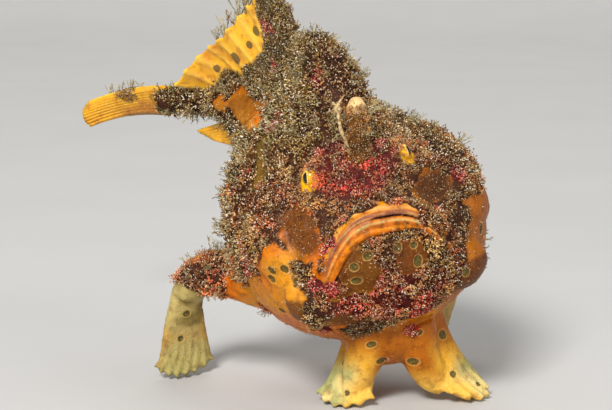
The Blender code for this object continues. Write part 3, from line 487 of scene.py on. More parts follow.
# Crimson growth and the stained skin under it: wide ovals of the brow and the chin, each with
# its middle, its half width and height and how far back it may lie, and small patches with
# their places on the straight fish and how far each spreads
BROW_CRIMSON, CHIN_CRIMSON = ((-3, 50.6), (11.5, 6.4), 24), ((0, 19.5), (17, 8), 16)
PINK_PATCHES = [
    (-17.0, 14.9, 12.9, 2.6), (8.0, 12.0, 12.0, 2.4), (-26.5, 41.1, 14.9, 2.0),
    (-31.1, 26.8, 30.4, 3.4), (-9.5, 2.0, 42.2, 1.8), (23.0, 13.7, 42.3, 2.2), (-15.1, 4.4, 24.4, 2.2),
    (-15.3, 1.9, 35.0, 1.6), (-26.8, 12.6, 42.0, 1.8), (-9.0, 12.0, 48.5, 2.0), (5.4, 13.4, 53.9, 2.2),
    (14.5, 5.5, 37.0, 1.5), (-3.0, 9.0, 20.0, 1.8), (2.3, 27.9, 77.9, 2.6), (12.0, 50.0, 67.0, 2.2),
    (26.0, 52.0, 48.0, 2.2), (-13.5, 40.2, 61.1, 2.6), (28.0, 68.0, 38.0, 2.0),
    (-5.2, 25.3, 72.1, 2.6), (-28.0, 46.0, 42.0, 2.0), (2.0, 6.0, 17.0, 1.6), (-1.0, 67.9, 70.3, 2.2),
    (0.0, 43.8, 68.3, 2.2), (14.0, 30.0, 60.0, 2.0), (3.9, 14.0, 6.9, 1.7), (-3.6, 16.3, 0.3, 1.0),
    (-24.8, 39.0, 50.2, 1.8), (-11.7, 47.6, 60.1, 2.6), (-12.9, 1.6, 36.2, 1.5),
    (-17.6, 4.9, 26.1, 1.6), (-1.9, 65.5, 81.5, 2.8),
]


def crimson_share(points):
    """How crimson a place is: over the whole brow and chin softly, and in the patches fully."""
    brow, chin = ((1 - eased(off_oval(points, middle, radii), 0.75, 1.2)) * (points[:, 1] < back)
                  for middle, radii, back in (BROW_CRIMSON, CHIN_CRIMSON))
    patch = np.zeros(len(points))
    for *middle, radius in PINK_PATCHES:
        off = np.linalg.norm(points - middle, axis=1) / radius + 0.35 * ripple(points, 1.6, 32)
        patch = np.maximum(patch, 1 - eased(off, 0.75, 1.15))
    return brow, chin, patch


# The bare lower flank: its upper edge over the distance back, and its front edge over the height
RIGHT_BARE_TOP = ((4, 9, 12, 16, 26, 44, 56), (26, 35.5, 36.5, 32.5, 27, 23.5, 15))
RIGHT_BARE_FRONT = ((9, 14, 20, 22, 29, 36), (21, 13, 5.7, 4, 6.5, 9))
# The olive fold's two ends, and the orange patch beside the fin's foot in y and z
OLIVE_FOLD = np.array(((-16.1, 49.4, 56.3), (-23.4, 29.5, 49.6)))
BACK_PATCH, BACK_PATCH_SIZE = (77, 59.4), (16, 3.8)
# Bare ovals of the chin and hollows beside the snout: middle, half width and height, how far back
CHIN_OVALS = (((-7.6, 27.6), (4.9, 6.6), 15), ((5.2, 28.8), (4.0, 4.8), 15), ((-14.2, 14.6), (4.2, 3.0), 16))
HOLLOWS = (((-18.6, 38.8), (4.4, 6.4), 22), ((15.8, 42.2), (6.0, 3.9), 24))


def off_fold(points):
    """Distance from the olive fold's line over the shoulder."""
    start, way = OLIVE_FOLD[0], OLIVE_FOLD[1] - OLIVE_FOLD[0]
    along = np.clip((points - start) @ way / (way @ way), 0, 1)
    return np.linalg.norm(points - start - along[:, None] * way, axis=1)


def bare_share(points, shares):
    """How bare of growth the skin is, from 0, covered, to 1: lips, hollows, flanks, belly, hands and legs."""
    x, y, z = points.T
    uneven = 0.22 * ripple(points, 4.5, 1) + 0.2 * ripple(points, 1.8, 2)
    off = z - mouth_height(x)
    bare = np.zeros(len(points))

    def patch(inside, where=True):
        nonlocal bare
        bare = np.maximum(bare, np.where(where, 1 - eased(inside + uneven, 0.85, 1.1), 0))

    # A band for the lips, wider below the mouth's line than above it, then chin, hollows and eyes
    band = np.where(off > 0, 3.1 - 0.04 * x, 4.3 + 0.003 * x * x - 0.2 * np.maximum(0, x))
    patch(np.maximum(abs(off) / band, abs(x + 1.7) / 14.4), y < 15)
    for middle, radii, back in CHIN_OVALS + HOLLOWS:
        patch(off_oval(points, middle, radii), y < back)
    for side in (-1, 1):
        patch(np.linalg.norm(points - EYE_PLACES[side] + (-0.8 * side, 0, 0.8), axis=1) / 2.5)
    # Both lower flanks, the throat and the belly, in millimetres inside the edge of the growth
    right = np.minimum.reduce([
        np.interp(y, *RIGHT_BARE_TOP) - z, y - np.interp(z, *RIGHT_BARE_FRONT), -12 - x])
    left = np.minimum.reduce([x - 12 - 0.55 * (np.minimum(z, 30) - 13), 38 - z, 48 - y])
    under = np.where(y > 12, 11.5 - 3.5 * on_line(x + 2, 8) * (y < 20) - z, 9 - z)
    inside = np.maximum.reduce([right, left, under]) + 2.4 * ripple(points, 5, 3) + 1.3 * ripple(points, 2, 4)
    bare = np.maximum(bare, eased(inside, -0.5, 0.9))
    # Patches of the back: orange beside the fin's foot, an olive fold over the shoulder
    off_patch = np.hypot((y - BACK_PATCH[0]) / BACK_PATCH_SIZE[0], (z - BACK_PATCH[1]) / BACK_PATCH_SIZE[1])
    patch(off_patch + 0.45 * ripple(points, 4, 28), x < 0)
    patch(off_fold(points) / 1.9)
    # Limbs: hands and legs bare, arms and nape covered, the club bare at its top
    club_top = shares["club"] * eased(z + 1.4 * ripple(points, 1.4, 27), 64.5, 66)
    rest = 1 - np.maximum.reduce([shares["leg"], shares["hand"], club_top])
    arm_root = eased(x + 0.8 * ripple(points, 2, 19), -34.2, -32.6) * (1 - eased(z, 23.5, 26)) * (x < 0)
    arm_bare = np.maximum(0.6 * eased(ripple(points, 5, 9), 0.1, 0.5), arm_root)
    trunk = bare * (1 - np.maximum(shares["arm"], shares["nape"])) + shares["arm"] * arm_bare
    return 1 - rest * (1 - trunk)


brow, chin, patch = crimson_share(straight)
bare = bare_share(straight, weights) * (1 - patch)
hollow = np.max([
    (1 - eased(off_oval(straight, middle, radii) + 0.2 * ripple(straight, 2.4, 15), 0.7, 1.25)) * (y < back)
    for middle, radii, back in HOLLOWS], axis=0)

# Depth: a slit between the lips, creases beside it, warts, and a shallow dish in each spot
SLIT_DEPTH, CREASE_DEPTH, HOLLOW_DEPTH, DISH_DEPTH, RIM_HEIGHT = 0.8, 0.45, 0.8, 0.22, 0.16
normals = normals_of(skin.data)
parted = 0.25 + 0.75 * eased(x, -4, 0) * (1 - eased(x, 7, 11))
slit = on_line(off_mouth - 0.1, 0.2) * mouth_width * front
crease = 0.6 * on_line(off_mouth + 1.95 + 0.3 * ripple(straight, 4, 8), 0.28) * mouth_width * front
fold_line = off_mouth + 4.4 + 0.006 * x * x + 0.4 * ripple(straight, 5, 9)
crease += on_line(fold_line, 0.45) * mouth_width * front
wrinkle = np.sin(x * 4.6 + 2.2 * ripple(straight, 3, 5)) * ripple(straight, 2.4, 6)
lip_zone = (1 - eased(abs(off_mouth), 3.6, 4.6)) * mouth_width * front
depth = -SLIT_DEPTH * slit * parted - CREASE_DEPTH * crease + 0.1 * wrinkle * lip_zone
depth += 0.15 * lip_zone * ripple(straight, 2.2, 10)
warty = weights["trunk"] * bare * (1 - lip_zone)
depth += warty * (0.28 * ripple(straight, 3.2, 3) + 0.16 * np.maximum(0, ripple(straight, 1.3, 4) - 0.2))
depth -= HOLLOW_DEPTH * hollow
depth += RIM_HEIGHT * on_line(spot - 1.15, 0.2) - DISH_DEPTH * (1 - eased(spot, 0.6, 1.0))
depth += 0.35 * (weights["nape"] + weights["arm"]) * ripple(straight, 4, 7)
moved = places + depth[:, None] * normals
moved[:, 2] = np.maximum(moved[:, 2], np.minimum(places[:, 2], 0.02))
skin.data.vertices.foreach_set("co", (moved * MM).ravel())
skin.data.update()


def tint(red, green, blue):
    """A paint, in the linear light that shaders take."""
    levels = np.array((red, green, blue)) / 255
    return np.where(levels > 0.04045, ((levels + 0.055) / 1.055) ** 2.4, levels / 12.92)


def laid(paint, *coats):
    """Paint with coats laid over it, each a colour and its share at each point."""
    for colour, share in coats:
        share = np.asarray(share)[..., None]
        paint = paint * (1 - share) + colour * share
    return paint


def set_values(mesh, name, values):
    """A named value or colour at each point of a mesh."""
    values = np.asarray(values)
    if values.ndim == 1:
        mesh.attributes.new(name, "FLOAT", "POINT").data.foreach_set("value", values.astype(np.float32))
    else:
        colours = np.concatenate([values, np.ones((len(values), 1))], axis=1).astype(np.float32)
        mesh.attributes.new(name, "FLOAT_COLOR", "POINT").data.foreach_set("color", colours.ravel())


ORANGE, AMBER, PEACH, OCHRE = tint(206, 108, 6), tint(222, 146, 14), tint(224, 164, 92), tint(168, 92, 8)
BROWN, UMBER, MAROON = tint(92, 52, 16), tint(58, 34, 20), tint(84, 18, 20)
# The second colour on the next line is the painted shade of the slit between the lips
MAUVE, SLIT_SHADE, OLIVE, HAZEL = tint(148, 98, 80), tint(40, 14, 20), tint(96, 80, 26), tint(88, 44, 8)
CREAM, CELADON, YELLOW = tint(218, 196, 124), tint(170, 170, 108), tint(240, 176, 12)

# The flanks: orange and amber, ochre on the left and below, brown towards the tail; the ochre and brown on
# the left are painted shade, and the ochre below is partly the belly's own colour and partly painted shade
flank = laid(
    ORANGE,
    (AMBER, eased(ripple(straight, 9, 11), -0.4, 0.6)),
    (PEACH, 0.2 * eased(ripple(straight, 5, 12), 0.25, 0.8)),
    (OLIVE, 0.55 * (1 - eased(z, 3, 10)) * eased(y, 18, 30)),
    (BROWN, 0.6 * eased(ripple(straight, 6, 17), 0.1, 0.6) * eased(z, 26, 34)),
    (BROWN, 0.45 * eased(y, 70, 84)),
    # Painted shade: ochre over the left flank, and partly under the throat and belly
    (OCHRE, 0.9 * np.maximum(eased(x, 6, 16), 1 - eased(z, 6, 12))),
    # Painted shade: brown over the left flank
    (BROWN, 0.3 * eased(x, 10, 20)),
)

# The lips: mauve where they meet, streaked with peach above, partly as a painted highlight, brown, cream and
# amber below, with painted shade in the slit and the creases
stained = np.clip(np.maximum.reduce([0.75 * brow, 0.65 * chin, patch]) + 0.12, 0, 1)
under_lip = (1 - eased(off_mouth, -5.4, -4.2)) * front * (z > 13)
lips = eased(bare, 0.4, 0.9) * lip_zone
inner = lips * eased(off_mouth, -0.1, 0.2) * (1 - eased(off_mouth, 1.1, 1.8))
lower = lips * (1 - eased(off_mouth, -0.5, 0))
lip_lines = np.stack([0.2 * x, 1.5 * off_mouth, 0 * x], axis=1)
streaks, crossing = (0.5 + 0.5 * ripple(each, 0.8, 13) for each in (lip_lines, straight * (1.0, 1.0, 0.3)))
by_eye = np.min([
    np.linalg.norm(straight - EYE_PLACES[side] + (-0.6 * side, 0, 0.6), axis=1) for side in (-1, 1)], axis=0)
ground = laid(
    UMBER,
    (MAROON, stained),
    (flank, eased(bare, 0.25, 0.8)),
    # Darker in the hollows beside the snout: partly the skin's own brown, partly painted shade in the
    # recesses, umber on the shaded left
    (np.where(x[:, None] < 0, HAZEL, UMBER), 0.9 * hollow),
    (OLIVE, 0.9 * (1 - eased(off_fold(straight), 2, 4.5))),
    (HAZEL, 0.9 * under_lip * eased(bare, 0.3, 0.8)),
    (laid(ORANGE, (AMBER, eased(off_mouth, 1.5, 3))), lips),
    # Peach streaks along the top of the upper lip: partly the lip's pale rim, partly a painted highlight
    (PEACH, 0.75 * lips * eased(off_mouth, 1.0, 1.6) * eased(streaks, 0.45, 0.8)),
    (MAUVE, 0.85 * inner),
    (PEACH, 0.7 * inner * eased(streaks, 0.5, 0.85)),
    (HAZEL, 0.55 * lower * eased(crossing, 0.35, 0.7)),
    (UMBER, 0.8 * lower * eased(x, -1, 4) * eased(ripple(straight, 0.7, 18), 0.0, 0.4)),
    (CREAM, 0.75 * lower * on_line(off_mouth + 0.9, 0.35) * (0.4 + 0.6 * crossing)),
    (AMBER, 0.6 * lower * on_line(off_mouth + 2.6, 0.5) * streaks),
    # Painted shade in the slit between the lips
    (SLIT_SHADE, np.clip(1.5 * slit * parted, 0, 1)),
    # Painted shade in the creases below the lips
    (UMBER, 0.5 * crease * lip_zone),
    (YELLOW, (1 - eased(by_eye, 2.9, 3.6)) * weights["trunk"]),
)

# The legs are orange above and along their inner edges, pale and greenish outside and below, with painted
# shade in olive over the left leg's upper outer part
BETWEEN_LEGS = 6
across, _, height = (places + FOOTPRINT_MIDDLE).T
right_leg, left_leg = (np.array(stops[::-1]) for stops, *_ in LEGS)
on_right = across < BETWEEN_LEGS
middle_x = np.where(on_right, *(np.interp(height, leg[:, 2], leg[:, 0]) for leg in (right_leg, left_leg)))
inward = np.where(on_right, 1, -1) * (across - middle_x) / 5.5 + 0.3 * ripple(places, 4, 15)
limb = laid(
    CREAM,
    (CELADON, eased(ripple(places, 5, 14) - inward, 0.1, 0.8)),
    # Painted shade: olive over the upper outer part of the left leg
    (OLIVE, 0.45 * (across > BETWEEN_LEGS) * eased(height, 4, 9)),
    (YELLOW, 0.8 * np.clip(eased(inward, -0.5, 0.5) * 0.8 + eased(height, 7, 15), 0, 1)),
    (OCHRE, np.clip(0.8 * eased(inward, 0.1, 1.0) * eased(height, 3, 11) + eased(height, 8, 19), 0, 1)),
)
palm = laid(
    CREAM,
    (AMBER, 0.55 * eased(ripple(places, 6, 16), -0.2, 0.6)),
    (CELADON, 0.6 * (1 - eased(height, 2, 12))),
    (OLIVE, 0.4 + 0.4 * eased(ripple(places, 4, 26), 0, 0.6)),
)
club_paint = laid(tint(104, 66, 22), (tint(230, 190, 130), eased(z, 62.5, 66)))
ground = laid(ground, (limb, weights["leg"]), (palm, weights["hand"]), (club_paint, weights["club"]))
for name, values in (("ground", ground), ("spot", spot), ("bare", bare)):
    set_values(skin.data, name, values)


class Reading:
    """What a node gives at each point. Sums on readings add Math nodes."""

    def __init__(self, finish, socket):
        self.finish, self.socket = finish, socket

    def math(self, operation, first, second):
        return self.finish.node("ShaderNodeMath", {"operation": operation}, {0: first, 1: second})

    def __add__(self, other):
        return self.math("ADD", self, other)

    def __sub__(self, other):
        return self.math("SUBTRACT", self, other)

    def __rsub__(self, other):
        return self.math("SUBTRACT", other, self)

    def __mul__(self, other):
        return self.math("MULTIPLY", self, other)

    def __truediv__(self, other):
        return self.math("DIVIDE", self, other)

    def __rtruediv__(self, other):
        return self.math("DIVIDE", other, self)

    __radd__ = __add__
    __rmul__ = __mul__


class Finish:
    """One material, laid node by node."""

    def __init__(self, name, **steady):
        self.material = bpy.data.materials.new(name)
        self.material.use_nodes = True
        self.nodes = self.material.node_tree.nodes
        self.shader = self.nodes["Principled BSDF"]
        self.lay(**steady)

    def feed(self, socket, value):
        """Links a reading to a socket, or sets its colour or value."""
        if isinstance(value, Reading):
            self.material.node_tree.links.new(value.socket, socket)
        elif socket.type == "RGBA":
            socket.default_value = (*value, 1)
        else:
            socket.default_value = value

    def node(self, kind, settings=(), inputs=(), output=0):
        """A node of a kind: its settings first, then its sockets' values or links."""
        made = self.nodes.new(kind)
        for name, value in dict(settings).items():
            setattr(made, name, value)
        for name, value in dict(inputs).items():
            self.feed(made.inputs[name], value)
        return Reading(self, made.outputs[output])

    def lay(self, **sockets):
        """Sets or links the shader's own sockets."""
        for name, value in sockets.items():
            self.feed(self.shader.inputs[name.replace("_", " ")], value)

    def mixed(self, under, over, share, way="MIX"):
        """One colour laid over another by a share."""
        return self.node("ShaderNodeMix", {"data_type": "RGBA", "blend_type": way},
                         {0: share, 6: under, 7: over}, output=2)

    def step(self, value, low, high):
        """0 below low, 1 above high, and smooth between."""
        settings = {"interpolation_type": "SMOOTHSTEP"}
        return self.node("ShaderNodeMapRange", settings, {0: value, 1: low, 2: high})

    def read(self, name, output=2):
        """What is set at each point under that name: output 0 is a colour, 1 a vector and 2 a value."""
        return self.node("ShaderNodeAttribute", {"attribute_name": name}, output=output)

    def noise(self, size, detail):
        """Cloudy variation over about that size in millimetres."""
        place = self.node("ShaderNodeTexCoord", output=3)
        inputs = {"Vector": place, "Scale": 1 / (size * MM), "Detail": detail}
        return self.node("ShaderNodeTexNoise", (), inputs)

    def pores(self, size):
        """Distance from the nearest of many points about that far apart, as a share of it."""
        inputs = {"Vector": self.node("ShaderNodeTexCoord", output=3), "Scale": 1 / (size * MM)}
        return self.node("ShaderNodeTexVoronoi", (), inputs)

    def bumped(self, height, depth, strength=1.0):
        """Small relief, depth in millimetres."""
        inputs = {"Height": height, "Distance": depth * MM, "Strength": strength}
        self.lay(Normal=self.node("ShaderNodeBump", (), inputs))


# The skin's finish: damp and finely pored, darker in clouds, each spot dark in a pale rim
hide = Finish("frogfish_skin", Subsurface_Weight=0.06, Subsurface_Radius=(0.9, 0.4, 0.2),
              Subsurface_Scale=1.2 * MM, Coat_Roughness=0.25, Specular_IOR_Level=0.14)
colour = hide.read("ground", output=0)
bareness = hide.read("bare")
cloud, grain, pores = hide.noise(2.2, 3), hide.noise(0.45, 2), hide.pores(0.55)
colour = hide.mixed(colour, (0.5, 0.4, 0.35), hide.step(cloud, 0.45, 0.75) * 0.75, "MULTIPLY")
colour = hide.mixed(colour, (1.4, 1.3, 1.15), hide.step(grain, 0.55, 0.75) * 0.6, "MULTIPLY")
in_pore = (1 - hide.step(pores, 0.1, 0.35)) * hide.step(grain, 0.4, 0.6)
colour = hide.mixed(colour, PEACH, in_pore * 0.4)
off_spot = hide.read("spot") + (grain - 0.5) * 0.35 + (cloud - 0.5) * 0.4
rim = hide.step(off_spot, 0.9, 1.02) * (1 - hide.step(off_spot, 1.1, 1.24))
dish = 1 - hide.step(off_spot, 0.78, 0.96)
colour = hide.mixed(colour, tint(210, 166, 90), rim * 0.45)
colour = hide.mixed(colour, tint(78, 66, 26), dish * 0.92)
colour = hide.mixed(colour, tint(122, 112, 56), dish * hide.step(grain, 0.48, 0.62) * 0.6)
hide.lay(Base_Color=colour, Roughness=0.34 + cloud * 0.22 + (1 - bareness) * 0.2, Coat_Weight=bareness * 0.08)
hide.bumped((grain * 0.5 + cloud) + (1 - pores) * 0.35, 0.35, 0.8)


def finished(piece, finish):
    """Gives a piece its one material and smooth shading."""
    piece.data.materials.clear()
    piece.data.materials.append(finish.material)
    piece.data.shade_smooth()


finished(skin, hide)
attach(skin, "root")
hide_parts("head", "lower_jaw", "torso", "tail_stalk", "third_spine", "second_spine",
            "pectoral_arm_left", "pectoral_arm_right", "pectoral_fin_left", "pectoral_fin_right",
            "pelvic_fin_left", "pelvic_fin_right")

# The eyes. A wet gold ball in each socket, with a narrow upright pupil and fine dark
# spokes about it. It looks out to its own side, so the pupil sits at the outer edge.
PUPIL_HALF_WIDTH, PUPIL_HALF_HEIGHT = 0.26, 0.55
CORNEA_BULGE = 0.06
iris = Finish("eye_gold", Coat_Roughness=0.06, Coat_Weight=0.5, Specular_IOR_Level=0.3)
looking = iris.read("looking", output=1)
level, upright = (iris.node("ShaderNodeSeparateXYZ", (), {0: looking}, output=k) for k in (0, 1))
spokes = iris.noise(0.25, 2)
off_pupil = (level * level) / PUPIL_HALF_WIDTH**2 + (upright * upright) / PUPIL_HALF_HEIGHT**2
off_middle = level * level + upright * upright
gold = iris.mixed(tint(240, 186, 28), tint(188, 104, 10), iris.step(spokes, 0.42, 0.62))
gold = iris.mixed(gold, tint(250, 226, 120), (1 - iris.step(off_pupil, 1.3, 2.2)) * 0.5)
gold = iris.mixed(gold, tint(110, 60, 14), iris.step(off_middle, 0.62, 0.86))
gold = iris.mixed(gold, (0.001, 0.001, 0.002), 1 - iris.step(off_pupil, 0.85, 1.15))
iris.lay(Base_Color=gold, Roughness=0.18 + spokes * 0.14)
for side, name in ((-1, "right"), (1, "left")):
    gaze = unit(EYE_GAZE * (side, 1, 1))
    across = unit(np.cross(gaze, (0, 0, 1)))
    upward = np.cross(across, gaze)
    points, faces = ball((0, 0, 0), 1.0, 48)
    off_axis = points @ np.stack([across, upward, gaze], axis=1)
    bulge = 1 + CORNEA_BULGE * eased(off_axis[:, 2:], 0.55, 1)
    eye = new_piece(f"eye_{name}_ball", stance(EYE_PLACES[side] + EYE_RADIUS * bulge * points), faces)
    vector = eye.data.attributes.new("looking", "FLOAT_VECTOR", "POINT")
    vector.data.foreach_set("vector", off_axis.astype(np.float32).ravel())
    finished(eye, iris)
    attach(eye, "root")
    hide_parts(f"eye_{name}")

# The lure. A thin, pale first spine with a bait of three soft tags, laid back over the
# snout beside the club. It is skin over one hair-thin bone, rooted above the upper lip.
LURE_STOPS = (-1.2, 14, 51), (-2.8, 10.6, 56.5), (-3.8, 9.6, 61), (-3.4, 10.6, 65.5)
LURE_RADII = ((0, 0.15, 0.5, 1), (0.8, 0.62, 0.5, 0.45))
BAIT_RADII = (1.1, 1.1, 1.3)
LURE_VOXEL = 0.16
# Each tag of the bait: which way it grows and how its tip leans
TAGS = (((-0.5, -0.4, 1), (-1, 0, 0)), ((0.5, 0, 1), (1, 0.4, 0)), ((0, -1, 0.2), (0, -0.6, -1)))
lure_path = curve_through(LURE_STOPS, 24)
bait = lure_path[-1]
lure_shapes = [tube(lure_path, np.interp(np.linspace(0, 1, 24), *LURE_RADII), 10), ball(bait, BAIT_RADII, 14)]
for way, lean in TAGS:
    way = unit(np.array(way, float))
    tag = curve_through((bait, bait + 1.7 * way, bait + 3.3 * way + np.array(lean)), 9)
    lure_shapes.append(tube(tag, np.linspace(0.62, 0.16, 9), 8, flat_way=(0.3, 0.8, 0.5)))
points, faces = one_shape(lure_shapes)
lure = new_piece("lure_and_bait", stance(points), faces)
melted(lure, LURE_VOXEL)
rod = Finish("lure_skin", Subsurface_Weight=0.2, Subsurface_Radius=(0.6, 0.4, 0.3), Subsurface_Scale=0.8 * MM)
bands = rod.noise(0.9, 3)
rod_colour = rod.mixed(tint(196, 168, 116), tint(112, 76, 46), rod.step(bands, 0.44, 0.6))
rod.lay(Base_Color=rod_colour, Roughness=0.4 + bands * 0.2)
rod.bumped(rod.noise(0.4, 2), 0.12)
finished(lure, rod)
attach(lure, "root")
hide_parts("lure")

# The fins of the back, tail and underside. Each is a thin yellow skin over soft rays,
# thicker at the root, with the rays raised on both faces and dark spots between them.
web = Finish("fin_web", Subsurface_Weight=0.25, Subsurface_Radius=(0.8, 0.5, 0.15), Subsurface_Scale=1.5 * MM)
web_colour = web.read("ground", output=0)
web_cloud, web_grain = web.noise(2.6, 3), web.noise(0.4, 2)
web_colour = web.mixed(web_colour, (0.62, 0.42, 0.25), web.step(web_cloud, 0.48, 0.7) * 0.7, "MULTIPLY")
web_colour = web.mixed(web_colour, tint(252, 222, 130), web.step(web_grain, 0.56, 0.72) * 0.4)
web_spot = web.read("spot") + (web_grain - 0.5) * 0.3
web_colour = web.mixed(web_colour, tint(74, 60, 20), (1 - web.step(web_spot, 0.85, 1.1)) * 0.85)
web.lay(Base_Color=web_colour, Roughness=0.38 + web_cloud * 0.25)
web.bumped(web_grain * 0.4 + web_cloud, 0.25, 0.7)


def ray_comb(place, rays):
    """1 on each ray's line and 0 half way to the next, for places from 0 to 1."""
    return (0.5 + 0.5 * np.cos(place * 2 * math.pi * (rays - 1))) ** 2.5


def fin_grid(rays, columns_a_ray, rows):
    """Places along a fin's foot and out to its edge, from 0 to 1, and the comb of its rays."""
    place = np.linspace(0, 1, columns_a_ray * rays + 1)[:, None]
    return place, np.linspace(0, 1, rows)[None], ray_comb(place, rays)


def middles(across, back, up):
    """A fin's grid of middle points on the straight fish."""
    return np.stack(np.broadcast_arrays(across, back, up), axis=-1)


def body_edge(foot, top):
    """The height of the body's top or bottom edge at each distance back."""
    return np.array([section_at(float(f))[0 if top else 1] for f in foot[:, 0]])[:, None]


def make_fin(name, node, centres, halves, paint, spots=()):
    """A fin from its grid of middle points on the straight fish, its thickness and its paint."""
    standing = stance(centres.reshape(-1, 3)).reshape(centres.shape)
    fin = new_piece(name, *sheet_shape(standing, halves))
    set_values(fin.data, "ground", np.concatenate([paint.reshape(-1, 3)] * 2))
    flat = np.concatenate([centres.reshape(-1, 3)] * 2)
    off = np.full(len(flat), FAR_OFF)
    for *middle, radius in spots:
        off = np.minimum(off, np.linalg.norm((flat - middle) * (0.3, 1, 1), axis=1) / radius)
    set_values(fin.data, "spot", off)
    finished(fin, web)
    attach(fin, "root")
    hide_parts(node)
    return fin


# The last of these is the tail fan's painted shade
FIN_YELLOW, FIN_DEEP, FIN_SHADE = tint(240, 178, 20), tint(206, 112, 12), tint(110, 72, 24)

# The back fin: its foot and tip run back along the body, and its edge falls from the front
DORSAL_TOPS = (87, 90.5, 86, 78.5, 73, 64)
DORSAL_ROOT_DEPTH = 5
DORSAL_TURF_EDGE = ((62, 68, 69.5, 72, 78, 85, 96, 107), (99, 95, 80, 75, 71.5, 68.5, 65, 61))
DORSAL_SPOTS = [(-1.3, 74, 79.8, 1.5), (-2, 77.8, 75.9, 1.2), (-3, 84.6, 71.9, 1.9), (-1.2, 73.1, 72.2, 1.6),
                (-3, 94, 68.5, 1.2)]
place, t, comb = fin_grid(12, 9, 30)
foot, tip = 47 + 47 * place, 55 + 54 * place
top = curve_through(np.array(DORSAL_TOPS)[:, None], len(place))
root = body_edge(foot, top=True) - DORSAL_ROOT_DEPTH
out = t * (0.965 + 0.035 * comb)
waves = 0.8 * out * np.sin(6 * math.pi * place) + 0.25 * np.sin(9 * out + 20 * place) * out
dorsal_grid = middles(-6.5 * place * out**2 + waves, foot + (tip - foot) * out,
                      root + (top - root) * (out + 0.25 * place * out * (1 - out)))
halves = (0.34 + 0.7 * comb) * (1 - 0.5 * out) + 0.5 * (1 - out) ** 2


def dorsal_turf(points):
    """How thickly the fin of the back is overgrown: its front and its foot wholly."""
    return eased(np.interp(points[:, 1], *DORSAL_TURF_EDGE) - points[:, 2] + 2 * ripple(points, 4, 50), -1, 1)


cloudy, overgrown = (each.reshape(halves.shape) for each in (
    ripple(dorsal_grid.reshape(-1, 3), 5, 21), dorsal_turf(dorsal_grid.reshape(-1, 3))))
paint = laid(FIN_YELLOW, (FIN_DEEP, eased(cloudy, 0, 0.6) * 0.7),
             (tint(250, 214, 96), 0.4 * comb * eased(out, 0.2, 0.7)), (UMBER, 0.95 * overgrown))
dorsal = make_fin("back_fin", "dorsal_fin", dorsal_grid, halves, paint, DORSAL_SPOTS)

# The tail fan: it leaves the stalk's end, bends down a little, and the lower half of its inner part is
# painted dark as shade
TAIL_REACH, TAIL_ROOT_DEPTH, TAIL_HEIGHT, TAIL_HALF_HEIGHT, TAIL_DROOP = 28.5, 3, 57, 3.4, 6
place, t, comb = fin_grid(9, 9, 26)
level = 2 * place - 1
reach = (TAIL_REACH - 2 * level**2) * (0.97 + 0.03 * comb)
tail_grid = middles(1.2 * (comb - 0.5) * (0.35 + t) + 0.5 * np.sin(5 * t + 2 * level),
                    BODY_LENGTH - TAIL_ROOT_DEPTH + (reach + TAIL_ROOT_DEPTH) * t,
                    TAIL_HEIGHT - TAIL_DROOP * t**2 + level * TAIL_HALF_HEIGHT)
halves = (0.5 + 0.5 * comb) * (1 - 0.45 * t) + 0.35 * (1 - t) ** 2
cloudy = ripple(tail_grid.reshape(-1, 3), 6, 23).reshape(halves.shape)
shadow = eased(0.4 * cloudy - level, -0.4, 0.5) * (1 - eased(t, 0.5, 0.75))
paint = laid(tint(230, 172, 14), (FIN_SHADE, shadow * 0.85),
             (tint(250, 208, 70), 0.5 * comb * eased(t, 0.3, 0.7)), (FIN_DEEP, 0.3 * (1 - comb)))
tail = make_fin("tail_fan", "tail_fin", tail_grid, halves, paint)

# The under fin: narrow, swept back from the belly's edge in front of the tail's stalk
UNDER_TIP_HEIGHT, UNDER_ROOT_DEPTH = 46.8, 3
UNDER_SPOTS = [(0, 94, 46, 1.0)]
place, t, comb = fin_grid(7, 9, 24)
foot, tip = 83 + 8 * place, 102 + 5.5 * place
root = body_edge(foot, top=False) + UNDER_ROOT_DEPTH
out = t * (0.9 + 0.1 * comb)
centres = middles(-1.5 * out**2 + 0.8 * (comb - 0.5) * out, foot + (tip - foot) * out,
                  root + (UNDER_TIP_HEIGHT + 1.8 * place - root) * out)
halves = (0.42 + 0.45 * comb) * (1 - 0.45 * out) + 0.3 * (1 - out) ** 2
paint = laid(FIN_YELLOW, (FIN_DEEP, 0.35 * (1 - comb) * np.ones_like(t)))
make_fin("under_fin", "anal_fin", centres, halves, paint, UNDER_SPOTS)

# The growth. Short, branched tags of the fish's own skin that look like weed stand close
# over the head, back, arms and spines, with darker gaps between. Each shrub is a bunch of
# thin curled filaments with a crumb at each tip, and its foot is rooted in the skin.
GROWTH_SEED = 11
COAT_LIMIT = 185000


def filament(path, radii, reaches, number):
    """One three-sided filament: its points, faces, reach from root to tip, side and lot."""
    path = np.asarray(path, float)
    along = unit(np.gradient(path, axis=0))
    side = unit(np.cross(along, (0.3, 0.9, 0.2)))
    thin = np.cross(side, along)
    turn = np.arange(3) * 2 * math.pi / 3
    stations = len(path) - 1
    rings = path[:-1, None] + np.asarray(radii)[:, None, None] * (
        np.cos(turn)[None, :, None] * side[:-1, None] + np.sin(turn)[None, :, None] * thin[:-1, None])
    points = np.concatenate([rings.reshape(-1, 3), path[-1:]])
    faces = []
    for i in range(stations - 1):
        for k in range(3):
            a, b = 3 * i + k, 3 * i + (k + 1) % 3
            faces += [(a, b, b + 3), (a, b + 3, a + 3)]
    last = 3 * (stations - 1)
    faces += [(last + k, last + (k + 1) % 3, last + 3) for k in range(3)]
    reach = np.concatenate([np.repeat(reaches[:-1], 3), reaches[-1:]])
    around = np.concatenate([np.tile((0, 0.5, 1), stations), [0.5]])
    return points, np.array(faces), reach, around, np.full(len(points), number)


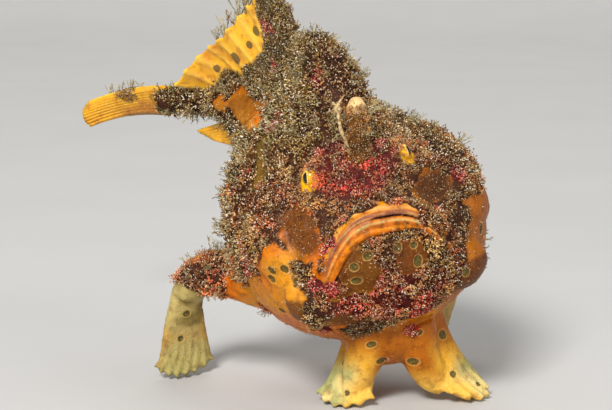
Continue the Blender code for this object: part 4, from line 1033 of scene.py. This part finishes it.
def bunch(filaments):
    """Filaments gathered into one form of tuft."""
    faces, start = [], 0
    for each in filaments:
        faces.append(each[1] + start)
        start += len(each[0])
    return (np.concatenate([f[0] for f in filaments]), np.concatenate(faces),
            *(np.concatenate([f[k] for f in filaments]) for k in (2, 3, 4)))


def shaken(draw, size):
    """A small random step."""
    return np.array([draw.uniform(-size, size) for _ in range(3)])


def along_curve(points, stops):
    """Points on a smooth curve at given shares of its way."""
    fine = curve_through(points, 33)
    return np.stack([np.interp(np.array(stops) * 32, range(33), fine[:, k]) for k in range(3)], axis=1)


# A crumb: the small knob at a twig's end, four points and four faces
CRUMB = np.array(((1, 0, -0.35), (-0.5, 0.87, -0.35), (-0.5, -0.87, -0.35), (0, 0, 1)))
CRUMB_FACES = np.array(((0, 1, 3), (1, 2, 3), (2, 0, 3), (0, 2, 1)))
CRUMB_REACH = 0.72


def crumb(draw, middle, size):
    """One crumb about a place."""
    turn = draw.uniform(0, math.pi)
    twist = np.array(((math.cos(turn), math.sin(turn), 0), (-math.sin(turn), math.cos(turn), 0), (0, 0, 1)))
    stretch = np.array([draw.uniform(0.75, 1.3) for _ in range(3)])
    points = middle + (CRUMB * stretch * size) @ twist
    reach = CRUMB_REACH + (1 - CRUMB_REACH) * (0.5 + 0.5 * CRUMB[:, 2])
    return points, CRUMB_FACES, reach, 0.5 + 0.5 * CRUMB[:, 0], np.full(4, draw.random())


GOLDEN_TURN = 2.4


def shrub_form(draw, branches, crumbs, size):
    """A low, open cushion of short twigs that end in crumbs, one unit wide to each side and one high."""
    made = []
    for n in range(branches):
        turn = GOLDEN_TURN * n + draw.uniform(-0.5, 0.5)
        out = math.sqrt((n + 0.5) / branches)
        steep = out * draw.uniform(1.0, 1.4)
        way = np.array((math.cos(turn) * math.sin(steep), math.sin(turn) * math.sin(steep), math.cos(steep)))
        foot = np.array((math.cos(turn), math.sin(turn), 0)) * 0.35 * out - (0, 0, 0.3)
        tip = way * draw.uniform(0.6, 1.15)
        tip[2] = max(0.2, tip[2])
        bend = (foot + tip) / 2 + shaken(draw, 0.18)
        made.append(filament((foot, bend, tip), (0.075, 0.05), (0, 0.4, 0.72), draw.random()))
        for k in range(crumbs):
            middle = tip + (bend - tip) * 0.2 * k + shaken(draw, 0.12 + 0.04 * k)
            made.append(crumb(draw, middle, size * draw.uniform(0.8, 1.35)))
    return bunch(made)


def wisp_form(draw, count):
    """A loose spray of long thin filaments that fork."""
    made = []
    for n in range(count):
        turn = 2 * math.pi * n / count + draw.uniform(-0.5, 0.5)
        lean = draw.uniform(0.15, 0.8)
        tip = np.array((math.cos(turn) * lean, math.sin(turn) * lean, draw.uniform(0.6, 1.0)))
        path = along_curve(((0, 0, -0.12), tip * 0.5 + shaken(draw, 0.2), tip), (0, 0.25, 0.5, 0.75, 0.95, 1))
        lot = draw.random()
        made.append(filament(path, (0.034, 0.03, 0.026, 0.022, 0.028), (0.5, 0.6, 0.66, 0.7, 0.75, 0.8), lot))
        for k in (1, 2, 2, 3, 3):
            off = shaken(draw, 0.2) + (0, 0, 0.1)
            curl = path[k] + 0.7 * off + shaken(draw, 0.06)
            made.append(filament((path[k], curl, path[k] + off), (0.022, 0.026), (0.65, 0.75, 0.8), lot))
    return bunch(made)


def sprig_form(draw, count):
    """A few short, thin filaments and loose crumbs that lie almost flat on bare skin."""
    made = []
    for n in range(count):
        turn = draw.uniform(0, 2 * math.pi)
        foot = np.array((math.cos(turn), math.sin(turn), 0)) * draw.uniform(0, 0.7)
        tip = foot + (draw.uniform(-0.7, 0.7), draw.uniform(-0.7, 0.7), draw.uniform(0.3, 0.7))
        made.append(filament((foot - (0, 0, 0.2), (foot + tip) / 2 + shaken(draw, 0.15), tip), (0.1, 0.08),
                             (0.5, 0.8, 1), draw.random()))
        if n % 2:
            made.append(crumb(draw, tip, draw.uniform(0.12, 0.2)))
    return bunch(made)


# The area of skin for each place tried, and the side of the cells that neighbours are sought in
TRY_AREA = 0.16
CELL = 3.2
draw = np.random.default_rng(GROWTH_SEED)
pick = random.Random(GROWTH_SEED)


def dotted(points, faces, room_at):
    """Roots spread over a surface, each clear of others by its room: feet, and a reader of values there."""
    corners = points[faces]
    one_side, other_side = (corners[:, k] - corners[:, 0] for k in (1, 2))
    size = 0.5 * np.linalg.norm(np.cross(one_side, other_side), axis=1)
    tries = int(size.sum() / TRY_AREA)
    chosen = draw.choice(len(size), tries, p=size / size.sum())
    u, v = draw.random(tries), draw.random(tries)
    over = u + v > 1
    u, v = np.where(over, 1 - u, u), np.where(over, 1 - v, v)
    shares = np.stack([1 - u - v, u, v], axis=1)
    spots = (corners[chosen] * shares[..., None]).sum(axis=1)
    room = (room_at[faces[chosen]] * shares).sum(axis=1)
    room[(room_at[faces[chosen]] <= 0).any(axis=1)] = 0
    kept, cells = [], {}
    steps = [(i, j, k) for i in (-1, 0, 1) for j in (-1, 0, 1) for k in (-1, 0, 1)]
    for n in np.nonzero(room > 0)[0]:
        spot, mine = spots[n].tolist(), room[n]
        key = tuple(int(value // CELL) for value in spot)
        near = (other for i, j, k in steps for other in cells.get((key[0] + i, key[1] + j, key[2] + k), ()))
        if all((spot[0] - a) ** 2 + (spot[1] - b) ** 2 + (spot[2] - c) ** 2 > ((mine + d) / 2) ** 2
               for a, b, c, d in near):
            kept.append(n)
            cells.setdefault(key, []).append((*spot, mine))
    rooted_in, shares = faces[chosen[kept]], shares[kept]

    def at(values):
        return (values[rooted_in] * (shares if values.ndim == 1 else shares[..., None])).sum(axis=1)

    return spots[kept], at


def triangles_of(mesh):
    """A mesh's triangles as rows of three points."""
    mesh.calc_loop_triangles()
    flat = np.empty(len(mesh.loop_triangles) * 3, np.int32)
    mesh.loop_triangles.foreach_get("vertices", flat)
    return flat.reshape(-1, 3)


TAN, ROSE, SAGE, STRAW = tint(182, 138, 80), tint(178, 92, 62), tint(142, 130, 70), tint(232, 198, 130)
RED, CORAL, RUST, GOLD = tint(172, 34, 38), tint(240, 100, 92), tint(214, 100, 36), tint(176, 116, 30)
PALE = tint(206, 192, 146)
FACE_DEPTH = 14
PALE_OVER_EYE = (-9, 54), (5, 3.2)


def right_arm_share(x, y, z):
    """1 on the right arm and 0 elsewhere on the straight fish."""
    return eased(-x, 29.5, 33) * (z < 36) * (y > 36)


def growth_paint(points):
    """The growth's colour on the straight fish: tan and rose, green to the back, crimson on brow and chin."""
    x, y, z = points.T
    broad, middling, fine = (ripple(points, size, 30 + k) for k, size in enumerate((9, 4, 1.6)))
    brow, chin, patch = crimson_share(points)
    green = eased(y, 14, 50) * 0.35 + 0.3 * eased(z, 46, 62) + 0.5 * broad
    zone = np.maximum(brow, 0.75 * chin)
    red = eased(zone + 0.5 * middling + 0.3 * fine, 0.3, 0.95) * eased(zone, 0.02, 0.4)
    over_eye = np.exp(-off_oval(points, *PALE_OVER_EYE) ** 2) * (y < 16)
    by_eye = np.min([np.linalg.norm(points - EYE_PLACES[s], axis=1) for s in (-1, 1)], axis=0)
    over_lip = on_line(z - mouth_height(x) - 4.6, 1.5) * (y < 8) * (x < 6)
    hot = np.maximum(1 - eased(by_eye, 4, 7.5), over_lip)
    on_club = (np.hypot(x - 1, y - 11.5) < 4.5) * (z > 52)
    return laid(
        TAN,
        (ROSE, 0.8 * eased(middling, -0.2, 0.4)),
        (SAGE, np.clip(green, 0, 0.85)),
        (STRAW, 0.6 * eased(fine, 0.1, 0.6)),
        (RED, 0.8 * red),
        (CORAL, 0.7 * red * eased(fine, 0.0, 0.45)),
        (STRAW, 0.6 * over_eye),
        (RUST, 0.5 * hot * eased(fine + middling, -0.5, 0.4)),
        (ROSE, 0.6 * right_arm_share(x, y, z)),
        (GOLD, 0.75 * on_club),
    ), patch


# Each shrub's twigs, crumbs a twig and the size of a crumb
SHRUBS = [(6, 6, 0.14), (6, 7, 0.12), (7, 6, 0.13), (7, 7, 0.115), (8, 6, 0.11), (8, 5, 0.125), (9, 5, 0.11),
          (7, 7, 0.105)]
shrubs = [shrub_form(pick, *sizes) for sizes in SHRUBS]
wisps = [wisp_form(pick, 6) for _ in range(5)]
sprigs = [sprig_form(pick, 4) for _ in range(5)]
FORMS = shrubs + wisps + sprigs
WISP, SPRIG = len(shrubs), len(shrubs) + len(wisps)
tufts = []


def plant(feet, ups, places, widths, heights, kinds, paints, maps, lean=0.45):
    """Notes tufts to be made: root, way up, place on the straight fish, size, form, paint and map place."""
    count = len(feet)
    leans = unit(draw.normal(size=(count, 3)) + (0, 0.35, 0.35))
    tufts.append({
        "feet": feet, "ups": ups, "order": places[:, 1], "widths": widths, "heights": heights, "kinds": kinds,
        "paints": paints, "maps": maps, "leans": leans, "turns": draw.uniform(0, 2 * math.pi, count),
        "tilts": draw.uniform(0, lean, count), "lots": draw.random(count)})


def carpet(mesh, places, ups, straight, cover, widths, maps_at, room=0.95, lively=1.0):
    """Covers a surface with shrubs where cover is over a half, in clumps with dark gaps between."""
    mound = 0.75 * ripple(straight, 3.2, 41) + 0.5 * ripple(straight, 7, 43)
    gap = ripple(straight, 2.3, 42) < np.where(straight[:, 1] < FACE_DEPTH, -0.4, -0.5)
    widths = widths * (0.62 + 0.38 * eased(cover, 0.5, 0.95))
    close = 1 - 0.3 * crimson_share(straight)[2]
    room_at = np.where((cover > 0.5) & ~gap, room * close * widths * (1 - 0.12 * mound), 0)
    feet, at = dotted(places, triangles_of(mesh), room_at)
    count = len(feet)
    spots, mound = at(straight), at(mound)
    paints, patch = growth_paint(spots)
    wide = at(widths) * draw.uniform(0.8, 1.3, count)
    tall = wide * lively * (0.9 + 0.65 * mound + 0.25 * draw.uniform(-1, 1, count))
    tall = np.maximum(tall, 0.35 * wide)
    # Lighter on the mounds, darker to the back and the nape; painted light on the arm and the face, and
    # painted shade on the left cheek
    in_patch = patch > 0.5
    light = np.clip(1.05 + 0.8 * mound + 1.3 * (draw.random(count) - 0.5), 0.25, 2.3)
    x, y, z = spots.T
    on_face = y < FACE_DEPTH
    # Painted shade over the left cheek
    cheek = eased(x, 11, 19) * (0.3 + 1.05 * eased(z, 24, 38))
    light *= 1 - 0.3 * np.maximum.reduce([eased(y, 16, 45), cheek, eased(z, 58, 64) * (y > 24)])
    light *= 1 + 0.65 * on_face * ripple(spots, 2.6, 44)
    # Painted light on the right arm and the face
    light *= 1 + 1.15 * right_arm_share(x, y, z) + 0.2 * on_face
    light = np.where(in_patch, np.clip(light, 0.8, 1.5), light)[:, None]
    patch_paint = laid(tint(206, 42, 52), (tint(246, 122, 114), draw.random(count)))
    paints = np.where(in_patch[:, None], patch_paint, paints) * light
    tall = tall * np.where(in_patch, 0.7, 1)
    kinds = draw.integers(0, len(shrubs), count)
    plant(feet, unit(at(ups)), spots, wide, tall, kinds, paints, maps_at(spots, at))


# The bake's map of the tufts: the left three quarters for the body, then strips for arms, spines and fins
def map_place(points, at):
    """Where a root lies on an unwrap of the skin: round the body by angle, and back by distance."""
    x, y, z = points.T
    arm, nape, club = (at(weights[part])[:, None] > 0.5 for part in ("arm", "nape", "club"))
    middle = np.interp(y, BODY_SECTIONS[:, 0], BODY_SECTIONS[:, 4])
    on_body = (0.02 + 0.7 * (np.arctan2(x, middle - z) / (2 * math.pi) + 0.5),
               0.02 + 0.95 * np.clip(np.sqrt(np.maximum(y, 0) / 150), 0, 1))
    on_arm = (0.75 + 0.11 * (np.arctan2(y - 50, z - 40) / (2 * math.pi) + 0.5),
              0.03 + 0.3 * np.clip((abs(x) - 10) / 45, 0, 1) + np.where(x > 0, 0.34, 0))
    on_spine = (0.88 + 0.1 * (np.arctan2(y - 30, x) / (2 * math.pi) + 0.5),
                0.03 + 0.3 * np.clip((z - 45) / 40, 0, 1))
    body, limb, spine = (np.stack(each, axis=1) for each in (on_body, on_arm, on_spine))
    return np.where(nape | club, spine, np.where(arm, limb, body))


# The skin's own carpet: fine on the face, wide on the back
SHRUB_WIDTHS = (("arm", 1.5), ("nape", 1.6), ("club", 0.9))
places, normals = places_of(skin.data), normals_of(skin.data)
straight = straightened(places)
x, y, z = straight.T
shrub_width = 1.25 + 0.6 * eased(y, 9, 40)
shrub_width = np.where((abs(x) < 12) & (y < 20) & (z > mouth_height(x) + 3), 1.1, shrub_width)
shrub_width = shrub_width * (0.6 + 0.4 * eased(by_eye, 3.5, 6.5))
for part, width in SHRUB_WIDTHS:
    shrub_width = shrub_width * (1 - weights[part]) + width * weights[part]
carpet(skin.data, places, normals, straight, 1 - bare, shrub_width, map_place)

# Sprigs on bare skin: close in the hollows and on the club's foot, far apart on the flanks
near_growth = 1 - eased(bare, 0.5, 1.0)
on_lower, on_upper = (off_mouth < -1.3) & (x < 1), (off_mouth > 2.4) & (ripple(straight, 2, 61) > 0)
wanted = (bare > 0.5) & ((lip_zone < 0.3) | on_lower | on_upper) & (by_eye > 4.0)
room_at = np.where(wanted, 3.2 - 2.3 * np.maximum(hollow, near_growth), 0)
room_at[(spot < 1.3) | (weights["leg"] > 0.4) | (weights["hand"] > 0.4)] = 0
feet, at = dotted(places, triangles_of(skin.data), room_at)
spots, count = at(straight), len(feet)
size = draw.uniform(0.5, 1.1, count) * (1 - 0.45 * at(lip_zone))
# Sprigs are darker in the hollows, partly the brown there and partly painted shade
sprig_paint = laid(tint(206, 138, 66), (STRAW, draw.random(count)), (tint(104, 62, 28), 0.85 * at(hollow)))
plant(feet, unit(at(normals)), spots, size, size * 0.8, SPRIG + draw.integers(0, len(sprigs), count),
      sprig_paint, map_place(spots, at))


def fin_carpet(fin, grid, covered, width, corner):
    """The growth on a fin: shrubs where covered, on both its faces, mapped from a corner of the chart."""
    straight = np.concatenate([grid.reshape(-1, 3)] * 2)
    across, along = np.meshgrid(*(np.linspace(0, 1, count) for count in grid.shape[:2]), indexing="ij")
    face_chart = np.stack([across, along], axis=-1).reshape(-1, 2) * (0.045, 0.3) + corner
    chart = np.concatenate([face_chart, face_chart + (0.05, 0)])
    places = places_of(fin.data)
    carpet(fin.data, places, normals_of(fin.data), straight, covered(straight), np.full(len(places), width),
           lambda spots, at: at(chart), room=0.75, lively=0.9)


def tail_turf(points):
    """How thickly the tail fan is overgrown: a low ridge along its upper edge."""
    on_ridge = (points[:, 1] > 128) & (points[:, 1] < 136) & (points[:, 2] > 56.5)
    return on_ridge * 0.7 + 0.3 * ripple(points, 3, 51)


fin_carpet(dorsal, dorsal_grid, dorsal_turf, 1.3, (0.88, 0.36))
fin_carpet(tail, tail_grid, tail_turf, 0.9, (0.88, 0.68))


def spray(feet, ups, maps, low, high):
    """Long pale wisps of skin that stand out from the carpet."""
    count = len(feet)
    length = draw.uniform(low, high, count)
    paints = laid(PALE, (SAGE, 0.6 * draw.random(count)))
    plant(feet, ups, straightened(feet), length * 0.8, length, WISP + draw.integers(0, len(wisps), count),
          paints, maps, 0.25)


def rim_spray(rim, way, across, low, high):
    """Wisps along a fin's rim, mapped in a row at the top of the chart."""
    feet, count = stance(rim), len(rim)
    ups = np.tile(unit(np.array(way, float)), (count, 1))
    spray(feet, ups, np.stack([np.linspace(*across, count), np.full(count, 0.97)], axis=1), low, high)


# Wisps: along the fin tops, and scattered over the back and the outer flanks
rim_spray(dorsal_grid[8:70:5, -1], (-0.1, 0.15, 1.0), (0.93, 0.97), 3.2, 6.0)
rim_spray(tail_grid[-1, 9:20:3], (0, 0, 1.0), (0.88, 0.91), 2.4, 4.2)
wanted = np.clip(eased(y, 22, 50) * 0.5 + eased(z, 54, 66) * 0.5 + weights["nape"] * 0.6, 0, 1) * (bare < 0.3)
feet, at = dotted(places, triangles_of(skin.data), np.where(wanted > 0.15, 7.5 - 3.5 * wanted, 0))
spray(feet, unit(at(normals) + (0, 0, 0.25)), map_place(at(straight), at), 2.8, 4.6)


MAP_PATCH = 0.003


def coat_piece(name, rows, finish):
    """One mesh of many tufts, with their paint and the map that the bake uses."""
    points, faces, notes, start = [], [], {"reach": [], "lot": [], "growth": [], "chart": []}, 0
    for n, (form, corners, reach, around, lot) in enumerate(FORMS):
        mine = {key: value[rows["kinds"] == n] for key, value in rows.items()}
        count = len(mine["feet"])
        if not count:
            continue
        across = unit(np.cross(mine["ups"], mine["leans"]))
        onward = np.cross(mine["ups"], across)
        turn = mine["turns"][:, None]
        first, second = (np.cos(turn + k) * across + np.sin(turn + k) * onward for k in (0, math.pi / 2))
        spread = form[None, :, :1] * first[:, None] + form[None, :, 1:2] * second[:, None]
        tilt = mine["tilts"][:, None] * mine["leans"]
        high = form[None, :, 2:]
        rise = high * mine["ups"][:, None] + np.maximum(0, high) ** 1.5 * tilt[:, None]
        placed = (mine["feet"][:, None] + mine["widths"][:, None, None] * spread
                  + mine["heights"][:, None, None] * rise)
        points.append(placed.reshape(-1, 3))
        faces.append((corners[None] + (start + len(form) * np.arange(count))[:, None, None]).reshape(-1, 3))
        start += count * len(form)
        notes["reach"].append(np.tile(reach, count))
        notes["lot"].append(((lot[None] + mine["lots"][:, None]) % 1.0).ravel())
        notes["growth"].append(np.repeat(mine["paints"], len(form), axis=0))
        patch = MAP_PATCH * (np.stack([reach, around], axis=1) - 0.5)
        notes["chart"].append((mine["maps"][:, None] + patch[None]).reshape(-1, 2))
    points, faces = np.concatenate(points), np.concatenate(faces)
    mesh = bpy.data.meshes.new(name)
    mesh.vertices.add(len(points))
    mesh.vertices.foreach_set("co", (points * MM).ravel())
    mesh.loops.add(faces.size)
    mesh.loops.foreach_set("vertex_index", faces.ravel().astype(np.int32))
    mesh.polygons.add(len(faces))
    mesh.polygons.foreach_set("loop_start", np.arange(0, faces.size, 3, dtype=np.int32))
    mesh.polygons.foreach_set("loop_total", np.full(len(faces), 3, np.int32))
    mesh.update(calc_edges=True)
    for label in ("reach", "lot", "growth"):
        set_values(mesh, label, np.concatenate(notes[label]))
    chart = mesh.uv_layers.new(name="OFBake")
    chart.uv.foreach_set("vector", np.concatenate(notes["chart"])[faces.ravel()].astype(np.float32).ravel())
    piece = bpy.data.objects.new(name, mesh)
    bpy.context.scene.collection.objects.link(piece)
    finished(piece, finish)
    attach(piece, "root")


# Dark and brown at the root as painted shade, some crumbs dark, and the tips of others straw or cream, partly
# pale crumbs and partly painted highlights
weed = Finish("weed_growth", Specular_IOR_Level=0.15)
stalk = weed.read("growth", output=0)
high, luck = weed.read("reach"), weed.read("lot")
flecks = weed.noise(0.7, 2)
# Painted shade: darker towards the root of each tuft
stalk = weed.mixed(stalk, (0.3, 0.17, 0.14), 1 - weed.step(high, 0.3, 0.8), "MULTIPLY")
stalk = weed.mixed(stalk, (0.4, 0.25, 0.2), (1 - weed.step(luck, 0.22, 0.45)) * 0.9, "MULTIPLY")
stalk = weed.mixed(stalk, (0.6, 0.5, 0.45), weed.step(flecks, 0.45, 0.7) * 0.7, "MULTIPLY")
# Straw and cream tips: partly pale crumbs, partly painted highlights on the lit tips
tips = weed.step(high, 0.74, 0.9)
stalk = weed.mixed(stalk, STRAW, tips * weed.step(luck, 0.62, 0.8) * 0.72)
stalk = weed.mixed(stalk, tint(250, 240, 216), tips * weed.step(luck, 0.85, 0.89) * 0.95)
weed.lay(Base_Color=stalk, Roughness=0.5 + flecks * 0.25)
weed.bumped(flecks, 0.1, 0.6)

rows = {key: np.concatenate([each[key] for each in tufts]) for key in tufts[0]}
order = np.argsort(rows["order"])
sizes = np.array([len(FORMS[kind][1]) for kind in rows["kinds"]])[order]
piece_of = np.cumsum(sizes) // COAT_LIMIT
for number in range(int(piece_of[-1]) + 1):
    mine = order[piece_of == number]
    coat_piece(f"growth_{number + 1}", {key: value[mine] for key, value in rows.items()}, weed)

# The studio: a plain pale floor that sweeps up all round like a dish, soft light from
# both sides and above, and the camera low in front of the fish, a little to its right.
FLOOR_RADII = (300, 700, 1100)
SWEEP_RADIUS = 500
SWEEP_SIDES = 64
BELOW_FEET = 0.1
profile = [(radius, -BELOW_FEET) for radius in FLOOR_RADII]
profile += [(FLOOR_RADII[-1] + SWEEP_RADIUS * math.sin(a), SWEEP_RADIUS * (1 - math.cos(a)) - BELOW_FEET)
            for a in np.linspace(0.1, 1.45, 14)]
turn = np.linspace(0, 2 * math.pi, SWEEP_SIDES + 1)[:-1]
points = [(r * math.cos(a), r * math.sin(a), up) for r, up in profile for a in turn] + [(0, 0, -BELOW_FEET)]
faces = []
for k in range(SWEEP_SIDES):
    beside = (k + 1) % SWEEP_SIDES
    faces.append((beside, len(points) - 1, k))
    for i in range(len(profile) - 1):
        inner, outer = i * SWEEP_SIDES, (i + 1) * SWEEP_SIDES
        faces.append((inner + k, outer + k, outer + beside, inner + beside))
floor = new_piece("floor", points, faces)
floor.data.shade_smooth()
paper = Finish("studio_floor", Specular_IOR_Level=0.2)
paper.lay(Base_Color=paper.mixed((0.5, 0.49, 0.47), (0.54, 0.53, 0.51), paper.noise(60, 2)), Roughness=0.9)
floor.data.materials.append(paper.material)

# The lamps in metres from the fish: place, width and power
FISH_MIDDLE = Vector((0, -0.01, 0.05))
LAMPS = (("key", (-0.7, -1.25, 1.25), 0.5, 42), ("fill", (1.25, -1.0, 0.75), 1.0, 8),
         ("back", (0.25, 1.25, 1.5), 1.0, 14))
for name, place, size, power in LAMPS:
    lamp = bpy.data.lights.new(name, "AREA")
    lamp.size, lamp.energy = size, power
    light = bpy.data.objects.new(name, lamp)
    light.location = place
    light.rotation_mode = "QUATERNION"
    light.rotation_quaternion = (FISH_MIDDLE - Vector(place)).to_track_quat("-Z", "Y")
    bpy.context.scene.collection.objects.link(light)
world = bpy.data.worlds.new("studio")
world.use_nodes = True
world.node_tree.nodes["Background"].inputs["Color"].default_value = (0.95, 0.97, 1.0, 1)
world.node_tree.nodes["Background"].inputs["Strength"].default_value = 0.25
bpy.context.scene.world = world
bpy.context.scene.view_settings.view_transform = "Standard"

# The camera: the mouth is set where the photograph has it, in pixels of a picture 612 wide and 410 high
PIXEL, DISTANCE, SENSOR = 0.00024, 0.43, 36
PICTURE_WIDTH, PICTURE_MIDDLE, MOUTH_PIXEL = 612, (306, 205), (387, 260)
MOUTH = Vector((0.0140, -0.0545, 0.040))
AZIMUTH, ELEVATION = math.radians(-10), math.radians(10)
back = Vector((math.sin(AZIMUTH) * math.cos(ELEVATION), -math.cos(AZIMUTH) * math.cos(ELEVATION),
               math.sin(ELEVATION)))
turned = (-back).to_track_quat("-Z", "Y")
aim = MOUTH + turned @ Vector(((PICTURE_MIDDLE[0] - MOUTH_PIXEL[0]) * PIXEL,
                               (MOUTH_PIXEL[1] - PICTURE_MIDDLE[1]) * PIXEL, 0))
camera = bpy.data.objects.new("camera", bpy.data.cameras.new("camera"))
camera.data.sensor_width = SENSOR
camera.data.lens = SENSOR * DISTANCE / (PICTURE_WIDTH * PIXEL)
camera.data.clip_start = 0.01
camera.rotation_mode = "QUATERNION"
camera.rotation_quaternion = turned
camera.location = aim + back * DISTANCE
bpy.context.scene.collection.objects.link(camera)
bpy.context.scene.camera = camera
